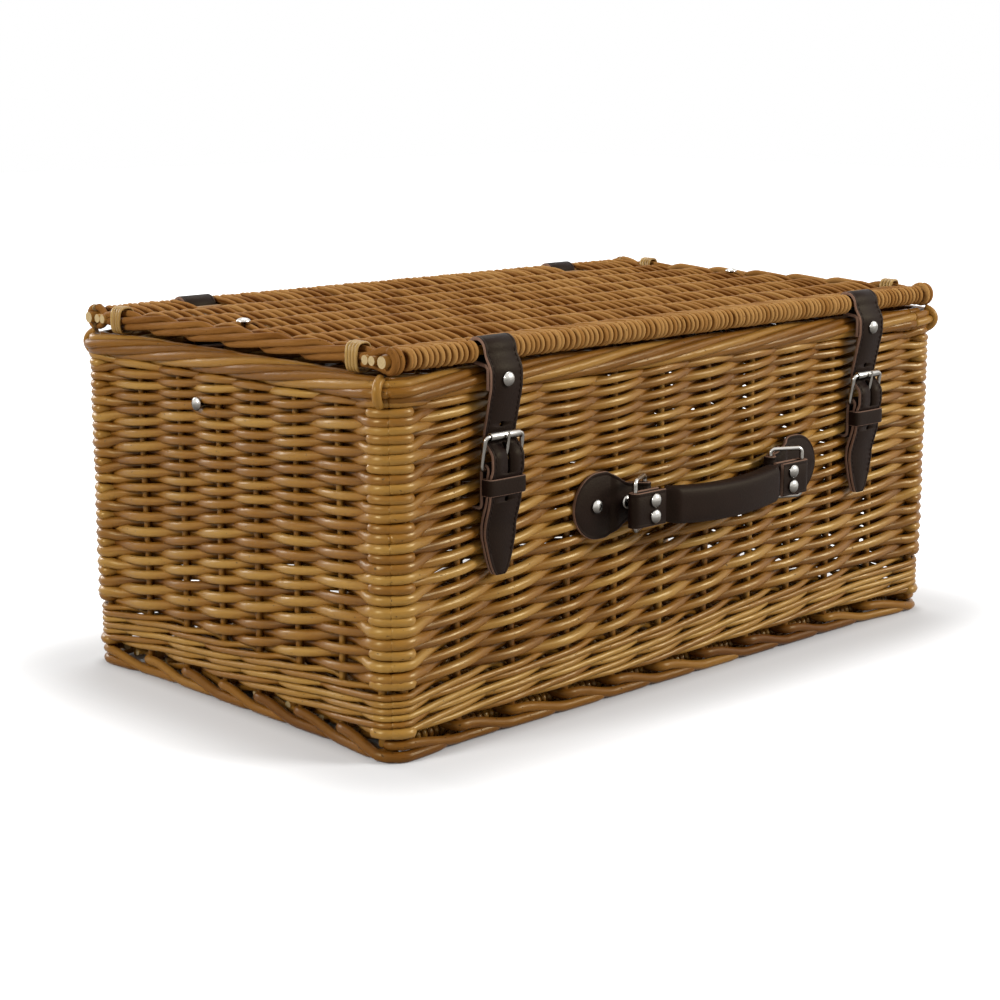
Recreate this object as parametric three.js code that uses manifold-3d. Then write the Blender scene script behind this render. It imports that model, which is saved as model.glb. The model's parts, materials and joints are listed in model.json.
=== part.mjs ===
// A willow picnic hamper: a woven rectangular basket with a hinged woven lid, two leather closing
// straps with roller buckles, a leather carrying handle on rings, leather hinges and leather lid stays.
// Millimetres, +Z up, +X along the front, -Y towards the front. The origin is under the middle of the base.
import * as THREE from 'three';
import { mergeVertices } from 'three/addons/utils/BufferGeometryUtils.js';
import Module from 'manifold-3d';

const wasm = await Module();
wasm.setup();

// Driving dimensions of the basket
const LENGTH = 520;
const DEPTH = 306;
const RIM_HEIGHT = 223;
const RIM_OVERHANG = 4;
const WALL = 13;
const CORNER_RADIUS = 18;
const FOOT_HEIGHT = 14;
const WALE_HEIGHT = 26;
const BORDER_HEIGHT = 14;
const BASE_THICKNESS = 12;
const EDGE_CHAMFER = 3.5;

// Driving dimensions of the lid
const LID_GAP = 3.5;
const LID_THICKNESS = 12;
const RAIL_DIAMETER = 13;
const RAIL_INSET = 2;
const END_WALE_WIDTH = 13;
const BINDING_LENGTH = 11;
const BINDING_THICKNESS = 1.8;
const BINDING_INSET = 24;
const LID_OPEN_ANGLE = 100;

// Driving dimensions of the weave, whose rods stand proud at every other stake or stick
const FRONT_STAKES = 10;
const FRONT_SHOULDER = 39;
const END_STAKES = 6;
const END_SHOULDER = 33;
const WALL_ROWS = 37;
const WALL_RELIEF = 4.2;
const LID_STICKS = 7;
const LID_ROD_PITCH = 4.2;
const LID_RELIEF = 7;
const EDGE_ROW_STEP = 4;

// Driving dimensions of the leather and its rivets
const LEATHER = 2.5;
const STRAP_WIDTH = 25;
const STRAP_INSET = 85;
const STRAP_DROP = 133;
const STRAP_POINT_LENGTH = 15;
const STRAP_POINT_WIDTH = 7;
const STRAP_TAIL = 12;
const HOLE_DIAMETER = 4;
const HOLE_LENGTH = 13;
const HOLE_PITCH = 17;
const RIVET_HEAD = 9;
const RIVET_DOME = 2.6;
const RIVET_SHANK = 3.2;
const RIVET_TAIL = 7;
const RIVET_TAIL_THICKNESS = 1;

// Driving dimensions of the buckles
const BUCKLE_DROP = 69;
const BUCKLE_LENGTH = 20;
const BUCKLE_TILT = 10;
const BUCKLE_WIRE = 3;
const ROLLER_DIAMETER = 5;
const PRONG_WIRE = 2.4;
const PRONG_OVERRUN = 3;
const PRONG_EYE_START = 80;
const PRONG_HOLE_RISE = 8.5;
const KEEPER_DROP = 10;
const KEEPER_LENGTH = 9;
const KEEPER_LEATHER = 1.8;
const CHAPE_LENGTH = 64;
const CHAPE_ENTRY = 21;
const CHAPE_SETTLE = 14;

// Driving dimensions of the handle, which sits a little right of the middle of the front
const HANDLE_HEIGHT = 128;
const HANDLE_SHIFT = 8;
const TAB_SPAN = 236;
const TAB_HEIGHT = 42;
const TAB_NECK_HEIGHT = 23;
const TAB_OUTER_RIVET = 19;
const TAB_INNER_RIVET = 43;
const TAB_RETURN = 35;
const TAB_FOLD_START = 60;
const RING_WIRE = 3;
const RING_LENGTH = 20;
const RING_HEIGHT = 35;
const RING_STANDOFF = 8.5;
const RING_LEAN = 10.5;
const LOOP_HEIGHT = 22;
const LOOP_OVERLAP = 24;
const HANDLE_RIVET_INSET = 14;
const HANDLE_RIVET_PITCH = 10;
const GRIP_HEIGHT = 24;
const GRIP_DEPTH = 14;
const GRIP_BOW = 6;
const GRIP_SAG = 3;
const LOOP_SAG = 2.5;

// Driving dimensions of the hinges and lid stays
const HINGE_INSET = 85;
const HINGE_RIVET_DROP = 30;
const HINGE_END = 8;
const STAY_WIDTH = 12;
const STAY_LEATHER = 1.6;
const STAY_WALL_REACH = 114.5;
const STAY_WALL_DROP = 34;
const STAY_LID_REACH = 131.5;
const STAY_LID_INSET = 26;
const STAY_END = 6;
const STAY_TWIST_START = 0.02;
const STAY_TWIST_END = 0.3;

// Clearances: FIT lies between pieces that touch, PLAY beside pieces that turn or slide
const FIT = 0.3;
const PLAY = 1;

// Fineness of round shapes
const ROUND_SIDES = 12;
const RIVET_SIDES = 10;
const WIRE_SIDES = 8;
const CORNER_STEPS = 4;
const FOLD_STEPS = 8;
const EASE_STEPS = 5;
const STAY_STEPS = 36;
const HALVINGS = 40;

// Values that follow from the driving dimensions
const wallX = LENGTH / 2 - RIM_OVERHANG;
const wallY = DEPTH / 2 - RIM_OVERHANG;
const wallLow = FOOT_HEIGHT + WALE_HEIGHT + FIT;
const wallHigh = RIM_HEIGHT - BORDER_HEIGHT - FIT;
const railRadius = RAIL_DIAMETER / 2;
const railY = DEPTH / 2 - railRadius;
const railZ = RIM_HEIGHT + LID_GAP + railRadius;
const railOut = railY - wallY;
const lidX = LENGTH / 2 - RAIL_INSET;
const lidLow = railZ - LID_THICKNESS / 2;
const lidHigh = railZ + LID_THICKNESS / 2;
const strapX = LENGTH / 2 - STRAP_INSET;
const hingeX = LENGTH / 2 - HINGE_INSET;
const stayLidX = lidX - STAY_LID_INSET;
const stayLidY = railY - STAY_LID_REACH;
const stayWallY = railY - STAY_WALL_REACH;
const stayWallZ = RIM_HEIGHT - STAY_WALL_DROP;
const flatOut = FIT + LEATHER / 2;
const layer = LEATHER + FIT;
const strapTailOut = RIM_OVERHANG + FIT + RIVET_TAIL_THICKNESS + FIT + LEATHER / 2 + FIT;
const slotWidth = STRAP_WIDTH + 2 * PLAY;
const shankHole = RIVET_SHANK / 2 + FIT;
const tilt = THREE.MathUtils.degToRad(BUCKLE_TILT);
const openAngle = THREE.MathUtils.degToRad(LID_OPEN_ANGLE);

// Finishes
const willow = { color: 0xb9853f, roughness: 0.45, metalness: 0 };
const darkWillow = { color: 0x9c6a30, roughness: 0.5, metalness: 0 };
const cane = { color: 0xc79a55, roughness: 0.4, metalness: 0 };
const leather = { color: 0x2b1f1b, roughness: 0.55, metalness: 0 };
const nickel = { color: 0xc9c6bf, roughness: 0.25, metalness: 1 };

const hamper = new THREE.Group();
hamper.name = 'picnic_hamper';

// Adds a named piece with a finish of its own, optionally inside a turned group
function addPiece(name, geometry, finish, parent = hamper) {
  const mesh = new THREE.Mesh(geometry, new THREE.MeshStandardMaterial(finish));
  mesh.name = name;
  parent.add(mesh);
  return mesh;
}

// A closed solid from a row of rings with equal point counts; an open row gets flat end caps
function solidFromRings(rings, closed) {
  const count = rings[0].length;
  const rows = rings.length;
  const index = [];
  const steps = closed ? rows : rows - 1;
  for (let i = 0; i < steps; i += 1) {
    const next = (i + 1) % rows;
    for (let j = 0; j < count; j += 1) {
      const k = (j + 1) % count;
      const a = i * count + j;
      const b = i * count + k;
      const c = next * count + k;
      const d = next * count + j;
      index.push(a, b, c, a, c, d);
    }
  }
  if (!closed) {
    const last = (rows - 1) * count;
    for (let j = 1; j < count - 1; j += 1) {
      index.push(0, j + 1, j, last, last + j, last + j + 1);
    }
  }
  return solidFromTriangles(rings.flat(), index);
}

// A geometry from points and triangles, turned to face outwards
function solidFromTriangles(points, index) {
  const positions = points.flatMap((p) => [p.x, p.y, p.z]);
  const geometry = new THREE.BufferGeometry();
  geometry.setAttribute('position', new THREE.Float32BufferAttribute(positions, 3));
  geometry.setIndex(signedVolume(positions, index) < 0 ? flipped(index) : index);
  geometry.computeVertexNormals();
  return geometry;
}

// A woven panel: a flat back, and a front in columns of [along, proud] points, zipped to their neighbours.
// place(across, along, proud) puts a point in space; the first and last column are flat.
function wovenPanel(columns, thickness, place) {
  const points = [];
  const put = (across, along, proud) => points.push(place(across, along, proud)) - 1;
  const front = columns.map(({ across, rows }) => rows.map(([along, proud]) => put(across, along, proud)));
  const backLow = columns.map(({ across, rows }) => put(across, rows[0][0], -thickness));
  const backHigh = columns.map(({ across, rows }) => put(across, rows[rows.length - 1][0], -thickness));
  const index = [];
  const quad = (a, b, c, d) => index.push(a, b, c, a, c, d);
  const nextAlong = (i, row) => (row + 1 < front[i].length ? columns[i].rows[row + 1][0] : Infinity);
  for (let i = 0; i + 1 < columns.length; i += 1) {
    const left = front[i];
    const right = front[i + 1];
    let a = 0;
    let b = 0;
    while (a + 1 < left.length || b + 1 < right.length) {
      if (nextAlong(i, a) <= nextAlong(i + 1, b)) {
        index.push(left[a], right[b], left[a + 1]);
        a += 1;
      } else {
        index.push(left[a], right[b], right[b + 1]);
        b += 1;
      }
    }
    quad(backLow[i + 1], backLow[i], backHigh[i], backHigh[i + 1]);
    quad(backLow[i], backLow[i + 1], right[0], left[0]);
    quad(left[left.length - 1], right[right.length - 1], backHigh[i + 1], backHigh[i]);
  }
  const end = columns.length - 1;
  const first = front[0];
  const last = front[end];
  first.slice(1).forEach((point, k) => index.push(first[k], point, backLow[0]));
  index.push(first[first.length - 1], backHigh[0], backLow[0]);
  last.slice(1).forEach((point, k) => index.push(point, last[k], backLow[end]));
  index.push(backHigh[end], last[last.length - 1], backLow[end]);
  return solidFromTriangles(points, index);
}

// Columns of a wall's weave: at a stake the rods come in front by turns, and between stakes all pass through
function wallColumns(half, stakes, shoulder) {
  const rowZ = (row) => wallLow + (wallHigh - wallLow) * (row + 0.5) / (WALL_ROWS + 1);
  const flatColumn = (across, step) => {
    const rows = [[wallLow, -WALL_RELIEF]];
    for (let row = 1.5; row < WALL_ROWS; row += step) rows.push([rowZ(row), -WALL_RELIEF]);
    return { across, rows: [...rows, [wallHigh, -WALL_RELIEF]] };
  };
  const gap = 2 * (half - shoulder) / (stakes - 1);
  const columns = [flatColumn(-half, 2)];
  for (let i = 0; i < stakes; i += 1) {
    const across = -half + shoulder + gap * i;
    if (i > 0) columns.push(flatColumn(across - gap / 2, 1));
    const rows = [[wallLow, -WALL_RELIEF]];
    for (let row = 1; row <= WALL_ROWS; row += 1) rows.push([rowZ(row), row % 2 === 1 ? 0 : -WALL_RELIEF]);
    columns.push({ across, rows: [...rows, [wallHigh, -WALL_RELIEF]] });
  }
  return [...columns, flatColumn(half, 2)];
}

// Columns of the lid's weave, one for each stick and one for each edge; the rods go over and under the sticks
function lidColumns(halfX, halfY) {
  const count = Math.round(2 * halfX / LID_ROD_PITCH);
  const rodX = (i) => -halfX + 2 * halfX * (i + 0.5) / count;
  const edge = (across) => {
    const rows = [[-halfX, 0]];
    for (let i = EDGE_ROW_STEP; i < count; i += EDGE_ROW_STEP) rows.push([rodX(i), 0]);
    return { across, rows: [...rows, [halfX, 0]] };
  };
  const columns = [edge(-halfY)];
  for (let k = 0; k < LID_STICKS; k += 1) {
    const rows = [[-halfX, -LID_RELIEF / 2]];
    for (let i = 0; i < count; i += 1) rows.push([rodX(i), (i + k) % 2 === 1 ? 0 : -LID_RELIEF]);
    const across = -railY + 2 * railY * (k + 1) / (LID_STICKS + 1);
    columns.push({ across, rows: [...rows, [halfX, -LID_RELIEF / 2]] });
  }
  return [...columns, edge(halfY)];
}

// Six times the volume that a triangle mesh encloses, negative if it is inside out
function signedVolume(positions, index) {
  const at = (i) => new THREE.Vector3().fromArray(positions, 3 * i);
  let sum = 0;
  for (let i = 0; i < index.length; i += 3) {
    sum += at(index[i]).dot(at(index[i + 1]).cross(at(index[i + 2])));
  }
  return sum;
}

// The same triangles facing the other way
function flipped(index) {
  const turned = [];
  for (let i = 0; i < index.length; i += 3) {
    turned.push(index[i], index[i + 2], index[i + 1]);
  }
  return turned;
}

// A three.js geometry as a manifold solid
function toManifold(geometry) {
  const bare = geometry.clone();
  bare.deleteAttribute('normal');
  bare.deleteAttribute('uv');
  const merged = mergeVertices(bare);
  return new wasm.Manifold(new wasm.Mesh({
    numProp: 3,
    vertProperties: new Float32Array(merged.attributes.position.array),
    triVerts: new Uint32Array(merged.index.array),
  }));
}

// A geometry with some others added and then others cut out of it
function cut(geometry, tools, added = []) {
  const whole = added.reduce((sum, more) => sum.add(toManifold(more)), toManifold(geometry));
  const solid = tools.reduce((left, tool) => left.subtract(toManifold(tool)), whole);
  const mesh = solid.getMesh();
  const result = new THREE.BufferGeometry();
  result.setAttribute('position', new THREE.Float32BufferAttribute(mesh.vertProperties, 3));
  result.setIndex(Array.from(mesh.triVerts));
  result.computeVertexNormals();
  return result;
}

// A box between two corners
function boxBetween(low, high) {
  const size = high.map((value, i) => value - low[i]);
  const middle = high.map((value, i) => (value + low[i]) / 2);
  return new THREE.BoxGeometry(...size).translate(...middle);
}

// A rod of round section along one axis, centred on a point
function rod(axis, radius, length, centre, sides = ROUND_SIDES) {
  const geometry = new THREE.CylinderGeometry(radius, radius, length, sides);
  if (axis === 'x') geometry.rotateZ(Math.PI / 2);
  if (axis === 'z') geometry.rotateX(Math.PI / 2);
  return geometry.translate(...centre);
}

// The stations of a rounded rectangle in the XY plane: a corner centre and an outward direction each
function roundedRectangle(halfX, halfY, radius, steps) {
  const stations = [];
  for (let corner = 0; corner < 4; corner += 1) {
    const signX = corner === 0 || corner === 3 ? 1 : -1;
    const signY = corner < 2 ? 1 : -1;
    for (let k = 0; k <= steps; k += 1) {
      const angle = (corner + k / steps) * Math.PI / 2;
      stations.push({
        centre: new THREE.Vector2(signX * (halfX - radius), signY * (halfY - radius)),
        outward: new THREE.Vector2(Math.cos(angle), Math.sin(angle)),
        radius,
      });
    }
  }
  return stations;
}

// A ring: a section of [outward, up] points carried round a rounded rectangle
function ringSolid(stations, section) {
  const rings = stations.map(({ centre, outward, radius }) => section.map(([out, up]) => {
    const reach = radius + out;
    return new THREE.Vector3(centre.x + outward.x * reach, centre.y + outward.y * reach, up);
  }));
  return solidFromRings(rings, true);
}

// A rectangle with cut corners, as [outward, up] points between two limits each way
function chamferedSection(outLow, outHigh, low, high, chamfer) {
  return [
    [outLow + chamfer, low], [outHigh - chamfer, low], [outHigh, low + chamfer], [outHigh, high - chamfer],
    [outHigh - chamfer, high], [outLow + chamfer, high], [outLow, high - chamfer], [outLow, low + chamfer],
  ];
}

// A round wire section, as [outward, up] points
function wireSection(radius) {
  return Array.from({ length: WIRE_SIDES }, (unused, k) => {
    const angle = 2 * Math.PI * k / WIRE_SIDES;
    return [radius * Math.cos(angle), radius * Math.sin(angle)];
  });
}

// Points of an arc about a centre in the plane of a strap, from one angle to another in degrees
function arc(centreA, centreB, radius, from, to, steps = FOLD_STEPS) {
  return Array.from({ length: steps + 1 }, (unused, k) => {
    const angle = THREE.MathUtils.degToRad(from + (to - from) * k / steps);
    return [centreA + radius * Math.cos(angle), centreB + radius * Math.sin(angle)];
  });
}

// A run of points down or up a face: between given levels of [out, z] it eases without overshooting
function eased(levels, steps = EASE_STEPS) {
  return levels.flatMap(([out, z], i) => {
    if (i === 0) return [[out, z]];
    const [fromOut, fromZ] = levels[i - 1];
    if (fromOut === out) return [[out, z]];
    return Array.from({ length: steps }, (unused, k) => {
      const share = (k + 1) / steps;
      const ease = THREE.MathUtils.smoothstep(share, 0, 1);
      return [fromOut + (out - fromOut) * ease, fromZ + (z - fromZ) * share];
    });
  });
}

// A strip of leather along a plane path of [a, b] points. place(a, b, w) puts it in space, and
// widthAt(share of length, a, b) gives the low and high edge of the strip across the path.
function strip(path, thickness, widthAt, place) {
  const points = path.map(([a, b]) => new THREE.Vector2(a, b));
  const total = points.slice(1).reduce((sum, p, i) => sum + p.distanceTo(points[i]), 0);
  let run = 0;
  const rings = points.map((p, i) => {
    const before = points[Math.max(i - 1, 0)];
    const after = points[Math.min(i + 1, points.length - 1)];
    run += i > 0 ? p.distanceTo(points[i - 1]) : 0;
    const into = p.clone().sub(before);
    const onward = after.clone().sub(p);
    const along = after.clone().sub(before).normalize();
    const bend = into.lengthSq() > 0 && onward.lengthSq() > 0
      ? Math.sqrt((1 + into.normalize().dot(onward.normalize())) / 2) : 1;
    const half = thickness / 2 / bend;
    const [low, high] = widthAt(run / total, p.x, p.y);
    const edge = (side, w) => place(p.x - along.y * half * side, p.y + along.x * half * side, w);
    return [edge(1, low), edge(1, high), edge(-1, high), edge(-1, low)];
  });
  return solidFromRings(rings, false);
}

// A domed rivet standing on +Z, with its head seated at z = 0 and its burred tail below the grip
function rivetGeometry(grip) {
  const head = RIVET_HEAD / 2;
  const shank = RIVET_SHANK / 2;
  const tail = RIVET_TAIL / 2;
  const profile = [
    [0, -grip - RIVET_TAIL_THICKNESS], [tail, -grip - RIVET_TAIL_THICKNESS], [tail, -grip], [shank, -grip],
    [shank, 0], [head, 0], [head * Math.cos(Math.PI / 6), RIVET_DOME / 2],
    [head * Math.cos(Math.PI / 3), RIVET_DOME * Math.sin(Math.PI / 3)], [0, RIVET_DOME],
  ];
  const geometry = new THREE.LatheGeometry(profile.map(([r, z]) => new THREE.Vector2(r, z)), RIVET_SIDES);
  return geometry.rotateX(Math.PI / 2);
}

// A rivet whose head faces along a direction, seated a fit away from what it holds
function addRivet(name, seat, facing, grip) {
  const direction = new THREE.Vector3(...facing);
  const mesh = addPiece(name, rivetGeometry(grip + 2 * FIT), nickel);
  mesh.quaternion.setFromUnitVectors(new THREE.Vector3(0, 0, 1), direction);
  mesh.position.set(...seat).addScaledVector(direction, FIT);
  return mesh;
}

// The places of the leather on the front and back: out is measured from the wall's outer face
const frontPlace = (x) => (out, z, w) => new THREE.Vector3(x + w, -wallY - out, z);
const backPlace = (x) => (out, z, w) => new THREE.Vector3(x + w, wallY + out, z);
const evenWidth = (width) => () => [-width / 2, width / 2];

// Closing straps hang at the same distance on both sides of the middle
const strapSides = [['left', -strapX], ['right', strapX]];
const hingeSides = [['left', -hingeX], ['right', hingeX]];
const endSides = [['left', -1], ['right', 1]];

// Buckle levels: out from the wall's face, at the bar, the roller and the keeper
const wireRadius = BUCKLE_WIRE / 2;
const rollerRadius = ROLLER_DIAMETER / 2;
const barFold = wireRadius + FIT + LEATHER / 2;
const barOut = flatOut + barFold;
const barZ = railZ - BUCKLE_DROP;
const rollerOut = barOut + BUCKLE_LENGTH * Math.sin(tilt);
const rollerZ = barZ + BUCKLE_LENGTH * Math.cos(tilt);
const keeperZ = barZ - KEEPER_DROP;
const keeperBackOut = FIT + layer + KEEPER_LEATHER / 2;
const keeperChapeOut = keeperBackOut + KEEPER_LEATHER / 2 + FIT + LEATHER / 2;
const keeperStrapOut = keeperChapeOut + layer;
const keeperFrontOut = keeperStrapOut + LEATHER / 2 + FIT + KEEPER_LEATHER / 2;
const entryZ = barZ - CHAPE_ENTRY;
const entryRadius = LEATHER / 2 + PLAY;
const settleZ = entryZ - CHAPE_SETTLE;
const keeperTop = keeperZ + KEEPER_LENGTH / 2;
const keeperFoot = keeperZ - KEEPER_LENGTH / 2;
const prongRadius = PRONG_WIRE / 2;
const prongFold = wireRadius + FIT + prongRadius;
const prongRest = rollerRadius + FIT + prongRadius;

// The point in the basket of a point in a buckle's own plane: along from the bar, proud of the plane
function bucklePoint(along, proud) {
  return [
    barOut + along * Math.sin(tilt) + proud * Math.cos(tilt),
    barZ + along * Math.cos(tilt) - proud * Math.sin(tilt),
  ];
}

// The strap passes behind the roller, crosses the prong and then lies over the folded buckle strap
const strapRollerOut = rollerOut - rollerRadius - FIT - LEATHER / 2;
const strapRollerZ = rollerZ - wireRadius;
const [strapBarOut] = bucklePoint(0, barFold + layer + PLAY);
const prongHoleZ = barZ + PRONG_HOLE_RISE;
const strapBarZ = prongHoleZ - PLAY;

// Basket: base, foot border, upsett wale, walls, corner posts and top border
function addBasket() {
  const outline = roundedRectangle(wallX, wallY, CORNER_RADIUS, CORNER_STEPS);
  const inner = -WALL;
  const foot = chamferedSection(inner, 0, 0, FOOT_HEIGHT - FIT, EDGE_CHAMFER);
  addPiece('foot_border', ringSolid(outline, foot), darkWillow);
  const wale = chamferedSection(inner, 0, FOOT_HEIGHT, FOOT_HEIGHT + WALE_HEIGHT, FIT);
  addPiece('upsett_wale', ringSolid(outline, wale), willow);
  const border = chamferedSection(
    inner - RIM_OVERHANG, RIM_OVERHANG, RIM_HEIGHT - BORDER_HEIGHT, RIM_HEIGHT, EDGE_CHAMFER,
  );
  addPiece('top_border', ringSolid(outline, border), darkWillow);

  const baseX = wallX - WALL - FIT;
  const baseY = wallY - WALL - FIT;
  const baseRadius = CORNER_RADIUS - WALL - FIT;
  const floor = new THREE.Shape();
  roundedRectangle(baseX, baseY, baseRadius, CORNER_STEPS).forEach(({ centre, outward }, i) => {
    const point = centre.clone().addScaledVector(outward, baseRadius);
    if (i === 0) floor.moveTo(point.x, point.y);
    else floor.lineTo(point.x, point.y);
  });
  const base = new THREE.ExtrudeGeometry(floor, { depth: BASE_THICKNESS, bevelEnabled: false });
  addPiece('base_panel', base, willow);

  const panelX = wallX - CORNER_RADIUS - FIT / 2;
  const panelY = wallY - CORNER_RADIUS - FIT / 2;
  const tall = wallHigh - wallLow;
  const shankThrough = (x, z, y) => rod('y', shankHole, 2 * WALL, [x, y, z], WIRE_SIDES);
  const frontHoles = endSides.flatMap(([, side]) => [TAB_OUTER_RIVET, TAB_INNER_RIVET].map((inset) => (
    shankThrough(HANDLE_SHIFT + side * (TAB_SPAN / 2 - inset), HANDLE_HEIGHT, -wallY + WALL / 2)
  )));
  const entryLow = entryZ - entryRadius - LEATHER / 2 - FIT;
  const strapSlots = strapSides.map(([, x]) => boxBetween(
    [x - slotWidth / 2, -wallY - WALL, entryLow], [x + slotWidth / 2, -wallY + 2 * WALL, entryZ + PLAY],
  ));
  const longColumns = wallColumns(panelX, FRONT_STAKES, FRONT_SHOULDER);
  const front = wovenPanel(longColumns, WALL, (x, z, out) => new THREE.Vector3(x, -wallY - out, z));
  addPiece('front_wall', cut(front, [...frontHoles, ...strapSlots]), willow);

  const backHoles = hingeSides.map(([, x]) => shankThrough(x, hingeRivetZ, wallY - WALL / 2));
  const hingeSlots = hingeSides.map(([, x]) => boxBetween(
    [x - slotWidth / 2, wallY - 2 * WALL, hingeSlotLow], [x + slotWidth / 2, wallY + WALL, hingeSlotHigh],
  ));
  const back = wovenPanel(longColumns, WALL, (x, z, out) => new THREE.Vector3(x, wallY + out, z));
  addPiece('back_wall', cut(back, [...backHoles, ...hingeSlots]), willow);

  endSides.forEach(([name, side]) => {
    const centre = side * (wallX - WALL / 2);
    const endColumns = wallColumns(panelY, END_STAKES, END_SHOULDER);
    const panel = wovenPanel(endColumns, WALL, (y, z, out) => new THREE.Vector3(side * (wallX + out), y, z));
    const hole = rod('x', shankHole, 2 * WALL, [centre, stayWallY, stayWallZ], WIRE_SIDES);
    const seatX = side * (wallX - WALL / 4);
    const seat = rod('x', RIVET_HEAD / 2, WALL / 2, [seatX, stayWallY, stayWallZ], WIRE_SIDES);
    addPiece(`${name}_wall`, cut(panel, [hole], [seat]), willow);
  });

  const postNames = ['back_right', 'back_left', 'front_left', 'front_right'];
  const seam = FIT / 2;
  postNames.forEach((name, corner) => {
    const start = corner * Math.PI / 2;
    const outerSeam = Math.asin(seam / CORNER_RADIUS);
    const innerRadius = CORNER_RADIUS - WALL;
    const innerSeam = Math.asin(seam / innerRadius);
    const post = new THREE.Shape();
    post.absarc(0, 0, CORNER_RADIUS, start + outerSeam, start + Math.PI / 2 - outerSeam, false);
    post.absarc(0, 0, innerRadius, start + Math.PI / 2 - innerSeam, start + innerSeam, true);
    const geometry = new THREE.ExtrudeGeometry(post, {
      depth: tall, bevelEnabled: false, curveSegments: CORNER_STEPS,
    });
    const signX = corner === 0 || corner === 3 ? 1 : -1;
    const signY = corner < 2 ? 1 : -1;
    const mesh = addPiece(`corner_post_${name}`, geometry, darkWillow);
    mesh.position.set(signX * (wallX - CORNER_RADIUS), signY * (wallY - CORNER_RADIUS), wallLow);
  });
}

// Hinge levels on the back wall
const hingeLoop = railRadius + FIT + LEATHER / 2;
const hingeSlotTop = wallHigh - PLAY;
const hingeTurn = LEATHER / 2 + PLAY;
const hingeSlotHigh = hingeSlotTop + FIT;
const hingeSlotLow = hingeSlotTop - LEATHER - hingeTurn - PLAY;
const hingeReturnZ = hingeSlotTop - LEATHER / 2 - FIT;
const hingeRivetZ = RIM_HEIGHT - HINGE_RIVET_DROP;
const hingeInnerOut = -WALL - RIM_OVERHANG - flatOut;
const hingeFrontReach = hingeLoop + LEATHER / 2;

// Lid: rails, woven panel, end wales and corner bindings
function addLid() {
  const railLength = 2 * lidX;
  addPiece('lid_front_rail', rod('x', railRadius, railLength, [0, -railY, railZ]), darkWillow);
  addPiece('lid_back_rail', rod('x', railRadius, railLength, [0, railY, railZ]), darkWillow);

  const waleY = railY - railRadius - FIT;
  const waleX = lidX - END_WALE_WIDTH / 2;
  const panelX = lidX - END_WALE_WIDTH - FIT;
  const bindingY = railY - BINDING_INSET;
  const bindingReach = FIT + BINDING_THICKNESS;
  const notches = [];
  const seats = [];
  endSides.forEach(([name, side]) => {
    const wale = boxBetween(
      [side * waleX - END_WALE_WIDTH / 2, -waleY, lidLow],
      [side * waleX + END_WALE_WIDTH / 2, waleY, lidHigh],
    );
    addPiece(`lid_end_wale_${name}`, wale, willow);
    [['front', -1], ['back', 1]].forEach(([place, way]) => {
      const stations = roundedRectangle(
        END_WALE_WIDTH / 2 + FIT, LID_THICKNESS / 2 + FIT, FIT, 1,
      );
      const section = [
        [0, -BINDING_LENGTH / 2], [BINDING_THICKNESS, -BINDING_LENGTH / 2],
        [BINDING_THICKNESS, BINDING_LENGTH / 2], [0, BINDING_LENGTH / 2],
      ];
      const mesh = addPiece(`lid_corner_binding_${place}_${name}`, ringSolid(stations, section), cane);
      mesh.rotation.x = Math.PI / 2;
      mesh.position.set(side * waleX, way * bindingY, railZ);
      const middle = side * (panelX + bindingReach);
      const half = bindingReach + bindingReach + FIT;
      notches.push(boxBetween(
        [middle - half, way * bindingY - BINDING_LENGTH / 2 - FIT, lidLow - PLAY],
        [middle + half, way * bindingY + BINDING_LENGTH / 2 + FIT, lidHigh + PLAY],
      ));
    });
    notches.push(rod('z', shankHole, 2 * LID_THICKNESS, [side * stayLidX, stayLidY, railZ], WIRE_SIDES));
    const seatMiddle = [side * stayLidX, stayLidY, lidHigh - LID_THICKNESS / 4];
    seats.push(rod('z', RIVET_HEAD / 2, LID_THICKNESS / 2, seatMiddle, WIRE_SIDES));
  });
  strapSides.forEach(([, x]) => notches.push(boxBetween(
    [x - slotWidth / 2, -railY - railRadius, lidLow - PLAY],
    [x + slotWidth / 2, -railY + hingeFrontReach + PLAY, lidHigh + PLAY],
  )));
  hingeSides.forEach(([, x]) => notches.push(boxBetween(
    [x - slotWidth / 2, wallY + hingeInnerOut - LEATHER / 2 - PLAY, lidLow - PLAY],
    [x + slotWidth / 2, railY + railRadius, lidHigh + PLAY],
  )));
  const panel = wovenPanel(
    lidColumns(panelX, waleY), LID_THICKNESS, (y, x, up) => new THREE.Vector3(x, y, lidHigh + up),
  );
  addPiece('lid_weave', cut(panel, notches, seats), willow);
}

// Closing strap: a tail under the rail, round the rail, down the front, under the roller and into the keeper
function strapPath() {
  const tailOut = strapTailOut;
  const tailTop = railZ - hingeLoop - entryRadius;
  const frontOut = tailOut + layer;
  const tip = railZ - STRAP_DROP;
  return [
    [tailOut, tailTop - STRAP_TAIL],
    ...arc(tailOut - entryRadius, tailTop, entryRadius, 0, 90, FOLD_STEPS / 2),
    ...arc(railOut, railZ, hingeLoop, -90, -360, 2 * FOLD_STEPS),
    ...eased([
      [railOut + hingeLoop, railZ - FIT],
      [frontOut, tailTop + FIT],
      [frontOut, tailTop - STRAP_TAIL],
      [strapRollerOut, rollerZ + rollerRadius],
      [strapRollerOut, strapRollerZ],
      [strapBarOut, strapBarZ],
      [strapBarOut, barZ],
      [keeperStrapOut, keeperTop],
      [keeperStrapOut, keeperFoot],
      [flatOut + layer, settleZ - LEATHER],
      [flatOut + layer, tip],
    ]),
  ];
}

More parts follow.
